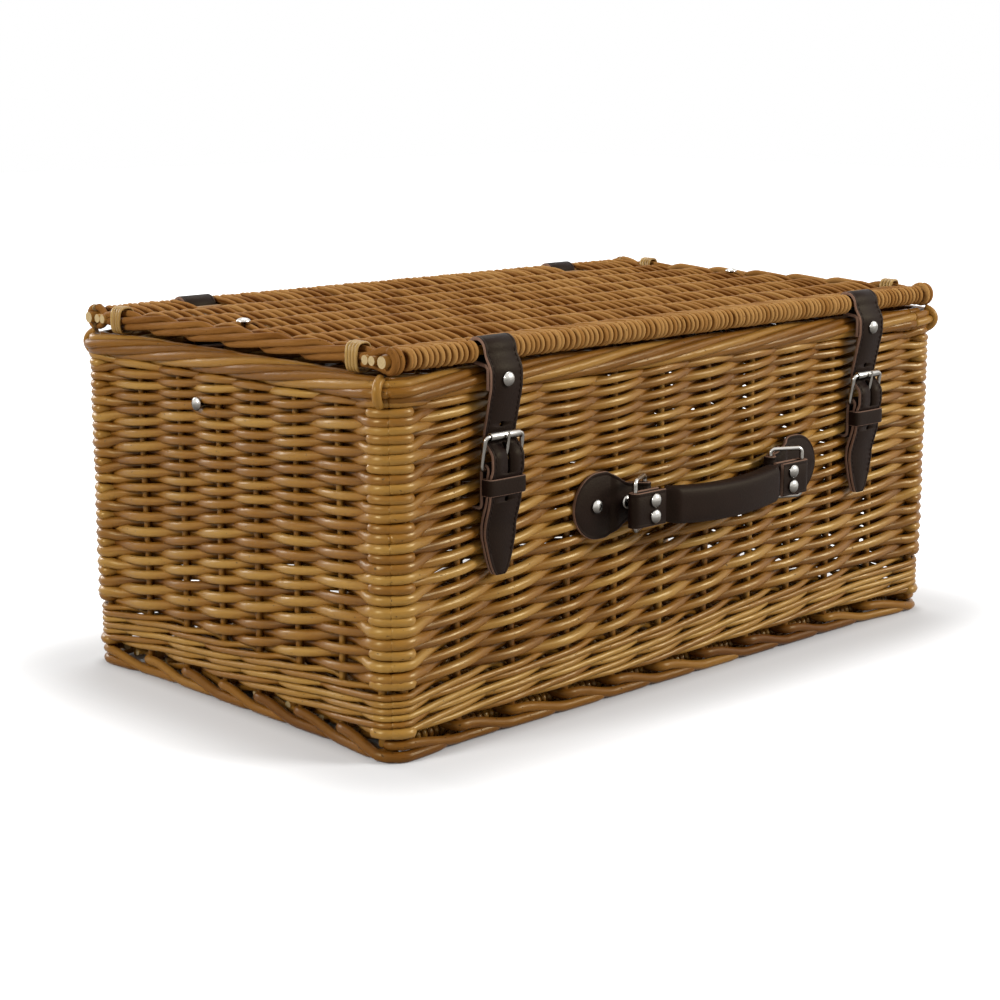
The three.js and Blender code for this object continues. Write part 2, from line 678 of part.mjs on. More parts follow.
// A strap's edges: full width, with a pointed end
function strapWidth(unused, out, z) {
  const above = z - (railZ - STRAP_DROP);
  const share = THREE.MathUtils.clamp(above / STRAP_POINT_LENGTH, 0, 1);
  const half = (STRAP_POINT_WIDTH + (STRAP_WIDTH - STRAP_POINT_WIDTH) * Math.sqrt(share)) / 2;
  return [-half, half];
}

// Buckle strap: a long front layer, a fold round the bar and a back end that goes into the weave
function chapePath() {
  return [
    ...eased([
      [flatOut, barZ - CHAPE_LENGTH],
      [flatOut, settleZ],
      [keeperChapeOut, keeperFoot],
      [keeperChapeOut, keeperTop],
      [barOut + barFold, barZ],
    ]).slice(0, -1),
    ...arc(barOut, barZ, barFold, 0, 180),
    [flatOut, entryZ + entryRadius],
    ...arc(flatOut - entryRadius, entryZ, entryRadius, 0, -90, FOLD_STEPS / 2),
    [-WALL + PLAY, entryZ - entryRadius],
  ];
}

// Prong: an eye round the bar and a shank that rests on the roller, in the buckle's own plane
function prongGeometry() {
  const eye = arc(0, 0, prongFold, PRONG_EYE_START, 360, 2 * FOLD_STEPS);
  const path = [...eye, [prongRest, BUCKLE_LENGTH], [prongRest, BUCKLE_LENGTH + PRONG_OVERRUN]];
  const rings = path.map(([a, b], i) => {
    const [beforeA, beforeB] = path[Math.max(i - 1, 0)];
    const [afterA, afterB] = path[Math.min(i + 1, path.length - 1)];
    const along = new THREE.Vector2(afterA - beforeA, afterB - beforeB).normalize();
    return wireSection(prongRadius).map(([across, side]) => (
      new THREE.Vector3(side, b - along.x * across, a + along.y * across)
    ));
  });
  return solidFromRings(rings, false);
}

// Straps with their buckles, rollers, prongs, keepers and buckle straps
function addFastenings() {
  const frameHalf = slotWidth / 2 + wireRadius;
  strapSides.forEach(([name, x]) => {
    const place = frontPlace(x);
    const reach = BUCKLE_LENGTH;
    const prongHole = boxBetween(
      [x - HOLE_DIAMETER / 2, -wallY - rollerOut - reach, prongHoleZ - HOLE_LENGTH / 2],
      [x + HOLE_DIAMETER / 2, -wallY - rollerOut + reach, prongHoleZ + HOLE_LENGTH / 2],
    );
    const spareHoles = [1, -1, -2].map((step) => rod(
      'y', HOLE_DIAMETER / 2, 2 * reach, [x, -wallY - rollerOut, prongHoleZ + step * HOLE_PITCH], WIRE_SIDES,
    ));
    const rivetZ = railZ - hingeLoop - entryRadius - STRAP_TAIL / 2;
    const frontFace = strapTailOut + layer + LEATHER / 2;
    const rivetHole = rod('y', shankHole, WALL, [x, -wallY - frontFace, rivetZ], WIRE_SIDES);
    const strap = strip(strapPath(), LEATHER, strapWidth, place);
    addPiece(`strap_${name}`, cut(strap, [prongHole, ...spareHoles, rivetHole]), leather);
    addRivet(`strap_rivet_${name}`, [x, -wallY - frontFace, rivetZ], [0, -1, 0], layer + LEATHER);

    const chape = strip(chapePath(), LEATHER, evenWidth(STRAP_WIDTH), place);
    const slot = boxBetween(
      [x - prongRadius - PLAY, -wallY - barOut - 2 * barFold, barZ - prongFold - prongRadius - PLAY],
      [x + prongRadius + PLAY, -wallY + FIT, barZ + 2 * barFold],
    );
    addPiece(`buckle_strap_${name}`, cut(chape, [slot]), leather);

    const keeperStations = roundedRectangle(
      STRAP_WIDTH / 2 + PLAY, (keeperFrontOut - keeperBackOut - KEEPER_LEATHER) / 2, PLAY, 2,
    );
    const keeperSection = [
      [0, -KEEPER_LENGTH / 2], [KEEPER_LEATHER, -KEEPER_LENGTH / 2],
      [KEEPER_LEATHER, KEEPER_LENGTH / 2], [0, KEEPER_LENGTH / 2],
    ];
    const keeper = addPiece(`keeper_${name}`, ringSolid(keeperStations, keeperSection), leather);
    keeper.position.set(x, -wallY - (keeperFrontOut + keeperBackOut) / 2, keeperZ);

    const buckle = new THREE.Group();
    buckle.position.set(x, -wallY - barOut, barZ);
    buckle.rotation.x = Math.PI / 2 + tilt;
    hamper.add(buckle);
    const frameStations = roundedRectangle(frameHalf, BUCKLE_LENGTH / 2, BUCKLE_WIRE, CORNER_STEPS);
    const frameRing = ringSolid(frameStations, wireSection(wireRadius));
    const frame = addPiece(`buckle_frame_${name}`, frameRing, nickel, buckle);
    frame.position.y = BUCKLE_LENGTH / 2;
    const rollerStations = roundedRectangle(wireRadius + FIT, wireRadius + FIT, wireRadius + FIT, 3);
    const rollerHalf = frameHalf - BUCKLE_WIRE - FIT;
    const shell = rollerRadius - wireRadius - FIT;
    const rollerSection = [[0, -rollerHalf], [shell, -rollerHalf], [shell, rollerHalf], [0, rollerHalf]];
    const rollerTube = ringSolid(rollerStations, rollerSection);
    const roller = addPiece(`buckle_roller_${name}`, rollerTube, nickel, buckle);
    roller.rotation.y = Math.PI / 2;
    roller.position.y = BUCKLE_LENGTH;
    addPiece(`buckle_prong_${name}`, prongGeometry(), nickel, buckle);
  });
}

// Handle levels along the front from the handle's middle, and out from the wall's face
const ringRadius = RING_WIRE / 2;
const ringFold = ringRadius + FIT + LEATHER / 2;
const tabEnd = TAB_SPAN / 2;
const tabInnerRivet = tabEnd - TAB_INNER_RIVET;
const tabReturnEnd = tabEnd - TAB_RETURN;
const innerLeg = tabInnerRivet - RIVET_HEAD - ringFold - PLAY;
const outerLeg = innerLeg + RING_LENGTH;
const outerLegOut = RING_STANDOFF + RING_LEAN;
const loopEnd = outerLeg - LOOP_OVERLAP;
const handleRivetX = outerLeg - HANDLE_RIVET_INSET;
const loopZ = HANDLE_HEIGHT - LOOP_SAG;

// Handle tab: a paddle on the wall whose narrow end folds back round the ring's inner leg
function tabPath() {
  const raised = flatOut + layer;
  return [
    [tabEnd, flatOut],
    ...Array.from({ length: FOLD_STEPS }, (unused, k) => [
      tabEnd - (tabEnd - tabReturnEnd - layer - PLAY) * (k + 1) / FOLD_STEPS, flatOut,
    ]),
    [tabReturnEnd - FIT, raised],
    [tabInnerRivet - RIVET_HEAD / 2 - PLAY, raised],
    ...arc(innerLeg, RING_STANDOFF, ringFold, TAB_FOLD_START, 360 - TAB_FOLD_START),
    [tabInnerRivet - RIVET_HEAD / 2 - 2 * PLAY, flatOut],
    [tabReturnEnd - PLAY - LEATHER, flatOut],
  ];
}

// The paddle's height: rounded at its outer end, drawn in to the neck towards the ring
function tabWidth(unused, x) {
  const neck = THREE.MathUtils.smoothstep(x, tabInnerRivet - RIVET_HEAD / 2, tabReturnEnd + RIVET_HEAD);
  const body = TAB_NECK_HEIGHT + (TAB_HEIGHT - TAB_NECK_HEIGHT) * neck;
  const roundness = TAB_HEIGHT / 2;
  const past = THREE.MathUtils.clamp((x - tabEnd) / roundness + 1, 0, 1);
  const half = body / 2 * Math.max(Math.sqrt(1 - past * past), EDGE_CHAMFER / roundness);
  return [-half, half];
}

// Handle: tabs, rings, end loops and the padded grip
function addHandle() {
  endSides.forEach(([name, side]) => {
    const place = (x, out, w) => new THREE.Vector3(HANDLE_SHIFT + side * x, -wallY - out, HANDLE_HEIGHT + w);
    const rivets = [
      ['outer', TAB_OUTER_RIVET, LEATHER + FIT],
      ['inner', TAB_INNER_RIVET, FIT + layer + LEATHER],
    ];
    const holes = rivets.map(([, inset]) => rod(
      'y', shankHole, 2 * WALL, [HANDLE_SHIFT + side * (tabEnd - inset), -wallY, HANDLE_HEIGHT], WIRE_SIDES,
    ));
    addPiece(`handle_tab_${name}`, cut(strip(tabPath(), LEATHER, tabWidth, place), holes), leather);
    rivets.forEach(([kind, inset, seat]) => addRivet(
      `handle_tab_rivet_${kind}_${name}`,
      [HANDLE_SHIFT + side * (tabEnd - inset), -wallY - seat, HANDLE_HEIGHT], [0, -1, 0], seat + WALL,
    ));

    const holder = new THREE.Group();
    const lean = Math.atan2(RING_LEAN, RING_LENGTH);
    const legGap = Math.hypot(RING_LEAN, RING_LENGTH);
    holder.position.set(
      HANDLE_SHIFT + side * (innerLeg + outerLeg) / 2,
      -wallY - (RING_STANDOFF + outerLegOut) / 2,
      HANDLE_HEIGHT,
    );
    holder.rotation.z = -side * lean;
    hamper.add(holder);
    const stations = roundedRectangle(legGap / 2, RING_HEIGHT / 2 - ringRadius, RING_WIRE, CORNER_STEPS);
    const ringWire = ringSolid(stations, wireSection(ringRadius));
    const ring = addPiece(`handle_ring_${name}`, ringWire, nickel, holder);
    ring.rotation.x = Math.PI / 2;

    const loopPlace = (x, out, w) => new THREE.Vector3(HANDLE_SHIFT + side * x, -wallY - out, loopZ + w);
    const loopPath = [
      [loopEnd, outerLegOut + ringFold],
      ...arc(outerLeg, outerLegOut, ringFold, 90, -90),
      [loopEnd, outerLegOut - ringFold],
    ];
    const rivetHeights = [['upper', 1], ['lower', -1]].map(([kind, way]) => [
      kind, loopZ + way * HANDLE_RIVET_PITCH / 2,
    ]);
    const rivetX = HANDLE_SHIFT + side * handleRivetX;
    const loopHoles = rivetHeights.map(([, z]) => rod(
      'y', shankHole, 4 * ringFold, [rivetX, -wallY - outerLegOut, z], WIRE_SIDES,
    ));
    const loop = strip(loopPath, LEATHER, evenWidth(LOOP_HEIGHT), loopPlace);
    addPiece(`handle_end_loop_${name}`, cut(loop, loopHoles), leather);
    const face = ringFold + LEATHER / 2;
    rivetHeights.forEach(([kind, z]) => addRivet(
      `handle_rivet_${kind}_${name}`, [rivetX, -wallY - outerLegOut - face, z], [0, -1, 0], 2 * face,
    ));
  });
  addGrip();
}

// The grip: a padded oval bar that bows forward and sags, ending in flat tongues inside the end loops
function addGrip() {
  const tongueEnd = outerLeg - ringRadius - PLAY;
  const bodyEnd = loopEnd - PLAY;
  const shoulder = bodyEnd - GRIP_DEPTH;
  const steps = 3 * FOLD_STEPS;
  const stops = Array.from({ length: steps + 1 }, (unused, k) => -bodyEnd + 2 * bodyEnd * k / steps);
  const rings = [-tongueEnd, ...stops, tongueEnd].map((x) => {
    const swell = THREE.MathUtils.smoothstep(bodyEnd - Math.abs(x), 0, bodyEnd - shoulder);
    const arch = Math.max(0, 1 - (x / bodyEnd) ** 2);
    const halfDepth = (RING_WIRE + (GRIP_DEPTH - RING_WIRE) * swell) / 2;
    const flat = LOOP_HEIGHT - PLAY;
    const halfHeight = (flat + (GRIP_HEIGHT - flat) * swell) / 2;
    const out = outerLegOut + GRIP_BOW * arch;
    const z = loopZ - GRIP_SAG * arch;
    return Array.from({ length: ROUND_SIDES }, (unused, k) => {
      const angle = 2 * Math.PI * (k + 0.5) / ROUND_SIDES;
      const depth = halfDepth * Math.sign(Math.cos(angle)) * Math.abs(Math.cos(angle)) ** 0.6;
      const rise = halfHeight * Math.sign(Math.sin(angle)) * Math.abs(Math.sin(angle)) ** 0.6;
      return new THREE.Vector3(HANDLE_SHIFT + x, -wallY - out - depth, z + rise);
    });
  });
  const shanks = endSides.flatMap(([, side]) => [1, -1].map((way) => rod(
    'y', shankHole, 4 * ringFold,
    [HANDLE_SHIFT + side * handleRivetX, -wallY - outerLegOut, loopZ + way * HANDLE_RIVET_PITCH / 2],
    WIRE_SIDES,
  )));
  addPiece('handle_grip', cut(solidFromRings(rings, false), shanks), leather);
}

// Hinge strap: from the back of the wall over the lid's back rail, down inside and out through the weave
function addHinges() {
  const outer = flatOut + layer;
  const overRim = RIM_OVERHANG + flatOut;
  const endZ = hingeRivetZ - HINGE_END;
  const inside = hingeReturnZ + hingeTurn;
  const path = [
    [outer, endZ],
    [outer, hingeRivetZ + RIVET_HEAD / 2],
    ...eased([
      [outer, hingeRivetZ + RIVET_HEAD / 2 + FIT],
      [overRim, wallHigh],
      [overRim, RIM_HEIGHT],
      [railOut + hingeLoop, railZ],
    ]).slice(1, -1),
    ...arc(railOut, railZ, hingeLoop, 0, 180),
    [hingeInnerOut, RIM_HEIGHT],
    [hingeInnerOut, inside],
    ...arc(hingeInnerOut + hingeTurn, inside, hingeTurn, 180, 270, FOLD_STEPS / 2),
    ...arc(flatOut - hingeTurn, hingeReturnZ - hingeTurn, hingeTurn, 90, 0, FOLD_STEPS / 2),
    [flatOut, endZ],
  ];
  hingeSides.forEach(([name, x]) => {
    const hole = rod('y', shankHole, 2 * WALL, [x, wallY, hingeRivetZ], WIRE_SIDES);
    const strap = strip(path, LEATHER, evenWidth(STRAP_WIDTH), backPlace(x));
    addPiece(`hinge_strap_${name}`, cut(strap, [hole]), leather);
    const seat = FIT + layer + LEATHER;
    addRivet(`hinge_rivet_${name}`, [x, wallY + seat, hingeRivetZ], [0, 1, 0], seat + WALL);
  });
}

// Lid stay: the path across the end of the basket, as [y, z, share], straight when the lid stands open.
// A point keeps its distance from the hinge axis and turns with the lid by a smooth share of its height.
function stayPath() {
  const wallEnd = [stayWallY, stayWallZ];
  const lidEnd = [stayLidY + RIVET_HEAD / 2, lidLow - FIT - STAY_LEATHER / 2];
  const polar = ([y, z]) => [Math.hypot(y - railY, z - railZ), Math.atan2(z - railZ, railY - y)];
  const point = (radius, angle) => [railY - radius * Math.cos(angle), railZ + radius * Math.sin(angle)];
  const [lidRadius, lidAngle] = polar(lidEnd);
  const opened = point(lidRadius, lidAngle + openAngle);
  return Array.from({ length: STAY_STEPS + 1 }, (unused, k) => {
    const share = k / STAY_STEPS;
    const target = [0, 1].map((i) => wallEnd[i] + (opened[i] - wallEnd[i]) * share);
    const [radius, targetAngle] = polar(target);
    let low = -Math.PI / 2;
    let high = 0;
    for (let pass = 0; pass < HALVINGS; pass += 1) {
      const angle = (low + high) / 2;
      const [, z] = point(radius, angle);
      const turned = angle + openAngle * THREE.MathUtils.smoothstep(z, wallEnd[1], lidEnd[1]);
      if (turned < targetAngle) low = angle;
      else high = angle;
    }
    return [...point(radius, (low + high) / 2), share];
  });
}

// Lid stays: flat on the end wall at one end, twisted flat under the lid at the other
function addStays() {
  const path = stayPath();
  const wallCentre = wallX - WALL - FIT - STAY_LEATHER / 2;
  const extend = (from, to, length) => {
    const reach = Math.hypot(to[0] - from[0], to[1] - from[1]);
    return [0, 1].map((i) => to[i] + (to[i] - from[i]) * length / reach);
  };
  const first = extend(path[1], path[0], STAY_END);
  const last = [stayLidY - STAY_END, path[STAY_STEPS][1]];
  const stations = [[...first, 0], ...path, [...last, 1]];
  endSides.forEach(([name, side]) => {
    const rings = stations.map(([y, z, share], i) => {
      const before = stations[Math.max(i - 1, 0)];
      const after = stations[Math.min(i + 1, stations.length - 1)];
      const along = new THREE.Vector3(0, after[0] - before[0], after[1] - before[1]).normalize();
      const turn = THREE.MathUtils.smoothstep(share, STAY_TWIST_START, STAY_TWIST_END);
      const twist = (1 - turn) * Math.PI / 2;
      const x = wallCentre + (stayLidX - wallCentre) * turn;
      const normal = new THREE.Vector3(0, -along.z, along.y);
      const across = new THREE.Vector3(Math.cos(twist), 0, 0).addScaledVector(normal, Math.sin(twist));
      const through = new THREE.Vector3(-Math.sin(twist), 0, 0).addScaledVector(normal, Math.cos(twist));
      const corner = (w, t) => {
        const p = new THREE.Vector3(x, y, z).addScaledVector(across, w).addScaledVector(through, t);
        p.x *= side;
        return p;
      };
      const w = STAY_WIDTH / 2;
      const t = STAY_LEATHER / 2;
      return [corner(-w, -t), corner(w, -t), corner(w, t), corner(-w, t)];
    });
    const wallHole = rod(
      'x', shankHole, 2 * WALL, [side * wallCentre, stayWallY, stayWallZ], WIRE_SIDES,
    );
    const lidHole = rod('z', shankHole, LID_THICKNESS, [side * stayLidX, stayLidY, lidLow], WIRE_SIDES);
    addPiece(`lid_stay_${name}`, cut(solidFromRings(rings, false), [wallHole, lidHole]), leather);
    const grip = FIT + STAY_LEATHER;
    addRivet(
      `stay_wall_rivet_${name}`, [side * wallX, stayWallY, stayWallZ], [side, 0, 0], WALL + grip,
    );
    addRivet(
      `stay_lid_rivet_${name}`, [side * stayLidX, stayLidY, lidHigh], [0, 0, 1], LID_THICKNESS + grip,
    );
  });
}

addBasket();
addLid();
addFastenings();
addHandle();
addHinges();
addStays();

export default hamper;
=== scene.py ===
# %% [markdown]
# A willow picnic hamper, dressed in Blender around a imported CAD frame. The CAD model has solid panels
# with a low relief where the real thing is woven, so this lesson weaves it: each rod is a circle carried
# along a path that numpy works out as one array. The frame is loaded first, because every piece takes
# its place from it.

# %% Load the frame
import json
import bpy
import numpy as np
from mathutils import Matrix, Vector


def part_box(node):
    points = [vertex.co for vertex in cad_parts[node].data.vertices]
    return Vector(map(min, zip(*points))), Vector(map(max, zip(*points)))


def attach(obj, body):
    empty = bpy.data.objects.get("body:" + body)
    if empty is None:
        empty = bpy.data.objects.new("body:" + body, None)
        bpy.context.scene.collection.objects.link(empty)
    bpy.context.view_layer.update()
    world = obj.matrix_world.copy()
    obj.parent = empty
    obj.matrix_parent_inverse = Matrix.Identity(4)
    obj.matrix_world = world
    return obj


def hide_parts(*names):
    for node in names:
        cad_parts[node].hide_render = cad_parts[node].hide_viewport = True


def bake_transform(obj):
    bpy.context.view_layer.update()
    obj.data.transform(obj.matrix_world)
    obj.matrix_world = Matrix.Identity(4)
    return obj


MM = 0.001
SEED = 11
SIDES = (("left", -1), ("right", 1))

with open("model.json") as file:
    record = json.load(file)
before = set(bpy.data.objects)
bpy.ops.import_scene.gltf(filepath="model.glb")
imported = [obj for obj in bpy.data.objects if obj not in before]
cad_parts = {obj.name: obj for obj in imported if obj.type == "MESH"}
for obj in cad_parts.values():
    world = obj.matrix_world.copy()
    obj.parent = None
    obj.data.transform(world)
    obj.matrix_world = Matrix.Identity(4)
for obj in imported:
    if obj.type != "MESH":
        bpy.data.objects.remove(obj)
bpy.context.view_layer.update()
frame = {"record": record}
home = {node: body for body, nodes in frame["record"]["behaviour"]["bodies"].items() for node in nodes}
draw = np.random.default_rng(SEED)


def box_mm(node):
    """The low corner, the high corner and the middle of a CAD node, in millimetres."""
    low, high = (np.array(corner, float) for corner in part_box(node))
    return low / MM, high / MM, (low + high) / 2 / MM


def new_object(name, data):
    """An object at the origin, linked to the scene."""
    obj = bpy.data.objects.new(name, data)
    bpy.context.scene.collection.objects.link(obj)
    return obj


def aimed(direction):
    """The turn that points a camera or a lamp along a direction."""
    return Vector(direction).to_track_quat("-Z", "Y").to_euler()


# %% [markdown]
# The camera stands low, off the front left corner, as a person would stand to take the picture. Its
# place and lens were fitted once to the rim and base corners, in the frame's own millimetres, so nothing
# else has to be fitted.

# %% Camera
CAMERA_PLACE = (-991.4, -1005.4, 391.8)
CAMERA_AIM = (0.67720, 0.70664, -0.20506)
CAMERA_LENS, SENSOR_WIDTH = 74.18, 36

view = new_object("camera", bpy.data.cameras.new("camera"))
view.data.lens = CAMERA_LENS
view.data.sensor_width = SENSOR_WIDTH
view.location = Vector(CAMERA_PLACE) * MM
view.rotation_euler = aimed(CAMERA_AIM)
bpy.context.scene.camera = view
print("camera at", tuple(round(v, 3) for v in view.location))

# %% [markdown]
# Finishes are node trees, and node trees are sums. The class below wraps one socket, so that Python's
# own operators add the Math nodes, and one method adds any other node. A finish then reads as a formula.


# %% Sockets that add up
class Wire:
    """A shader socket that Python's operators work on: each operator adds one Math node."""

    def __init__(self, tree, socket=None):
        self.tree = tree
        self.socket = socket

    def node(self, kind, settings=None, inputs=None, output=0):
        """Adds a node of a type, with its settings, then with the values or links of its sockets."""
        made = self.tree.nodes.new(kind)
        for key, value in (settings or {}).items():
            if key == "stops":
                ramp = made.color_ramp.elements
                while len(ramp) < len(value):
                    ramp.new(1.0)
                for stop, (place, colour) in zip(ramp, value):
                    stop.position = place
                    stop.color = colour + (1.0,)
            else:
                setattr(made, key, value)
        for key, value in (inputs or {}).items():
            if isinstance(value, Wire):
                self.tree.links.new(value.socket, made.inputs[key])
            else:
                made.inputs[key].default_value = value
        return Wire(self.tree, made.outputs[output]) if made.outputs else made

    def math(self, operation, first, second):
        """One Math node; numbers and wires may stand on either side."""
        return self.node("ShaderNodeMath", {"operation": operation}, {0: first, 1: second})

    def __add__(self, other):
        return self.math("ADD", self, other)

    def __radd__(self, other):
        return self.math("ADD", other, self)

    def __sub__(self, other):
        return self.math("SUBTRACT", self, other)

    def __rsub__(self, other):
        return self.math("SUBTRACT", other, self)

    def __mul__(self, other):
        return self.math("MULTIPLY", self, other)

    def __rmul__(self, other):
        return self.math("MULTIPLY", other, self)

    def spot(self):
        """The place on the object."""
        return self.node("ShaderNodeTexCoord", output=3)

    def mark(self, name):
        """A value painted on the mesh."""
        return self.node("ShaderNodeAttribute", {"attribute_name": name}, output=2)

    def noise(self, vector, scale, stretch=(1, 1, 1), detail=3):
        """Noise from 0 to 1 over a vector that is first stretched."""
        pulled = self.node("ShaderNodeMapping", {}, {"Vector": vector, "Scale": stretch})
        return self.node("ShaderNodeTexNoise", {}, {"Vector": pulled, "Scale": scale, "Detail": detail})

    def step(self, value, low, high):
        """A smooth step: 0 below low, 1 above high."""
        return self.node("ShaderNodeMapRange", {"interpolation_type": "SMOOTHSTEP"},
                         {"Value": value, "From Min": low, "From Max": high})

    def ramp(self, value, stops):
        """A colour for a value, between stops of place and colour."""
        return self.node("ShaderNodeValToRGB", {"stops": stops}, {"Fac": value})

    def blend(self, share, first, second):
        """Two colours mixed by a share."""
        return self.node("ShaderNodeMix", {"data_type": "RGBA"}, {0: share, 6: first, 7: second}, output=2)


# %% Finishes
def finish(name, formula):
    """A new material: formula(wire) returns the values of the shader's sockets and the height of its bump."""
    material = bpy.data.materials.new(name)
    material.use_nodes = True
    tree = material.node_tree
    tree.nodes.clear()
    wire = Wire(tree)
    sockets, height, depth = formula(wire)
    if height is not None:
        relief = {"Height": height, "Distance": depth, "Strength": 1.0}
        sockets["Normal"] = wire.node("ShaderNodeBump", {}, relief)
    surface = wire.node("ShaderNodeBsdfPrincipled", {}, sockets)
    wire.node("ShaderNodeOutputMaterial", {}, {"Surface": surface})
    return material


# %% [markdown]
# Varnished willow is honey brown, and no two rods match: some are reddish, some straw pale. A value
# painted on each rod picks its tone from a ramp; on the walls and the lid that value also carries painted
# shade, and on the lid's rails painted light. Noise stretched along the rod gives bark streaks, and a few
# dark specks are the scars of side shoots. The pattern follows the rod's own UV map, so it bends where
# the rod bends.

# %% Willow and cane
WARM_SHEEN = (1.0, 0.84, 0.47, 1.0)
STREAKS, DRIFTS, SCARS = (130, 22, 1), (14, 2, 1), (420, 9, 1)
STREAK_SHARE, DRIFT_SHARE = 0.32, 0.55
SCAR_EDGE, SCAR_SHARE, SCAR_DARK = (0.69, 0.78), 0.7, 0.22
BARK_DEPTH, CUT_DEPTH = 0.00018, 0.0003
CUT_SCALE, CUT_BROWN, CUT_PALE = 900, (0.30, 0.19, 0.075, 1), (0.56, 0.42, 0.20, 1)
BROWNS = {  # dark, middle and pale brown, least roughness, shine
    "willow": ((0.10, 0.031, 0.0035), (0.228, 0.092, 0.0105), (0.355, 0.186, 0.036), 0.21, 0.46),
    "lid_willow": ((0.10, 0.030, 0.004), (0.265, 0.117, 0.028), (0.375, 0.195, 0.060), 0.3, 0.02),
    "thick_willow": ((0.105, 0.034, 0.004), (0.215, 0.087, 0.011), (0.325, 0.162, 0.031), 0.21, 0.24),
    "cane": ((0.14, 0.07, 0.017), (0.27, 0.145, 0.036), (0.37, 0.22, 0.065), 0.2, 0.46),
}


def willow_formula(dark, middle, pale, gloss, shine):
    """Tone = the shade mark (the rod's own tone, plus painted shade or light where the weave adds it) + slow
    noise along the rod + fine streaks, through a ramp of three browns.
    """
    def formula(wire):
        lay = wire.node("ShaderNodeUVMap", {"uv_map": "lay"})
        shade = wire.mark("shade")
        streak = wire.noise(lay, 1.0, STREAKS, 5)
        drift = wire.noise(lay, 1.0, DRIFTS, 2)
        scar = wire.noise(lay, 1.0, SCARS, 1)
        tone = shade + DRIFT_SHARE * (drift - 0.5) + STREAK_SHARE * (streak - 0.5)
        brown = wire.ramp(tone, [(0.05, dark), (0.5, middle), (0.95, pale)])
        speck = wire.step(scar, *SCAR_EDGE)
        scarred = wire.blend(SCAR_SHARE * speck, brown, tuple(SCAR_DARK * v for v in dark) + (1.0,))
        rough = gloss + 0.22 * streak + 0.2 * speck
        height = streak + 0.5 * drift - 0.8 * speck
        sockets = {"Base Color": scarred, "Roughness": rough, "Specular IOR Level": shine,
                   "Specular Tint": WARM_SHEEN}
        return sockets, height, BARK_DEPTH
    return formula


def cut_formula(wire):
    """Cut willow: pale wood with a brown pith stain from noise over the object."""
    grain = wire.noise(wire.spot(), CUT_SCALE, detail=4)
    wood = wire.blend(grain, CUT_BROWN, CUT_PALE)
    return {"Base Color": wood, "Roughness": 0.6 + 0.2 * grain}, grain, CUT_DEPTH


browns = [finish(name, willow_formula(*look)) for name, look in BROWNS.items()]
willow, lid_willow, thick_willow, cane = browns
cut_willow = finish("cut_willow", cut_formula)
print("finishes:", [m.name for m in (*browns, cut_willow)])

# %% [markdown]
# Every woven piece is a family of rods. A rod could be a curve with a bevel, but then each would need
# its own spline; one numpy grid of (rods, points along, points round) makes them all at once, with UVs
# and tones.

# %% Grids and rods
UV_SHIFT = 3


def unit(vectors):
    """Vectors made one long."""
    return vectors / np.linalg.norm(vectors, axis=-1, keepdims=True)


def smooth(low, high, value):
    """The smooth step 3t^2 - 2t^3 with t running from 0 at low to 1 at high."""
    t = np.clip((value - low) / (high - low), 0, 1)
    return t * t * (3 - 2 * t)


def points(*axes):
    """Coordinates of matching shapes put together as points."""
    return np.stack(np.broadcast_arrays(*axes), axis=-1)


def full_turn(count, start=0.0):
    """The angles of a whole turn in equal steps."""
    return 2 * np.pi * (np.arange(count) + start) / count


def run_along(path):
    """The distance run along a path, at each of its points."""
    return np.concatenate([[0], np.cumsum(np.linalg.norm(np.diff(path, axis=0), axis=1))])


def soft_oblong(angle, half_a, half_b, power):
    """A closed oblong: cosine and sine raised to a power below one, so that the sides flatten."""
    wide = np.sign(np.cos(angle)) * np.abs(np.cos(angle)) ** power
    tall = np.sign(np.sin(angle)) * np.abs(np.sin(angle)) ** power
    return half_a * wide, half_b * tall


# %% Rods and their meshes
def rod_grid(paths, radii, sides=8, up=(0, 0, 1), flat=1.0, loop=False):
    """A circle carried along a path: point = path + r (cos a side + flat sin a rise), where side is the
    path's direction crossed with up, and rise the direction crossed with side."""
    paths = np.asarray(paths, float)
    if loop:
        along = np.roll(paths, -1, axis=1) - np.roll(paths, 1, axis=1)
    else:
        along = np.gradient(paths, axis=1)
    along = unit(along)
    side = unit(np.cross(along, np.broadcast_to(up, along.shape)))
    rise = np.cross(along, side)
    angle = full_turn(sides)
    reach = np.broadcast_to(radii, paths.shape[:2])[..., None, None]
    ring = np.cos(angle)[:, None] * side[:, :, None] + flat * np.sin(angle)[:, None] * rise[:, :, None]
    return paths[:, :, None] + reach * ring


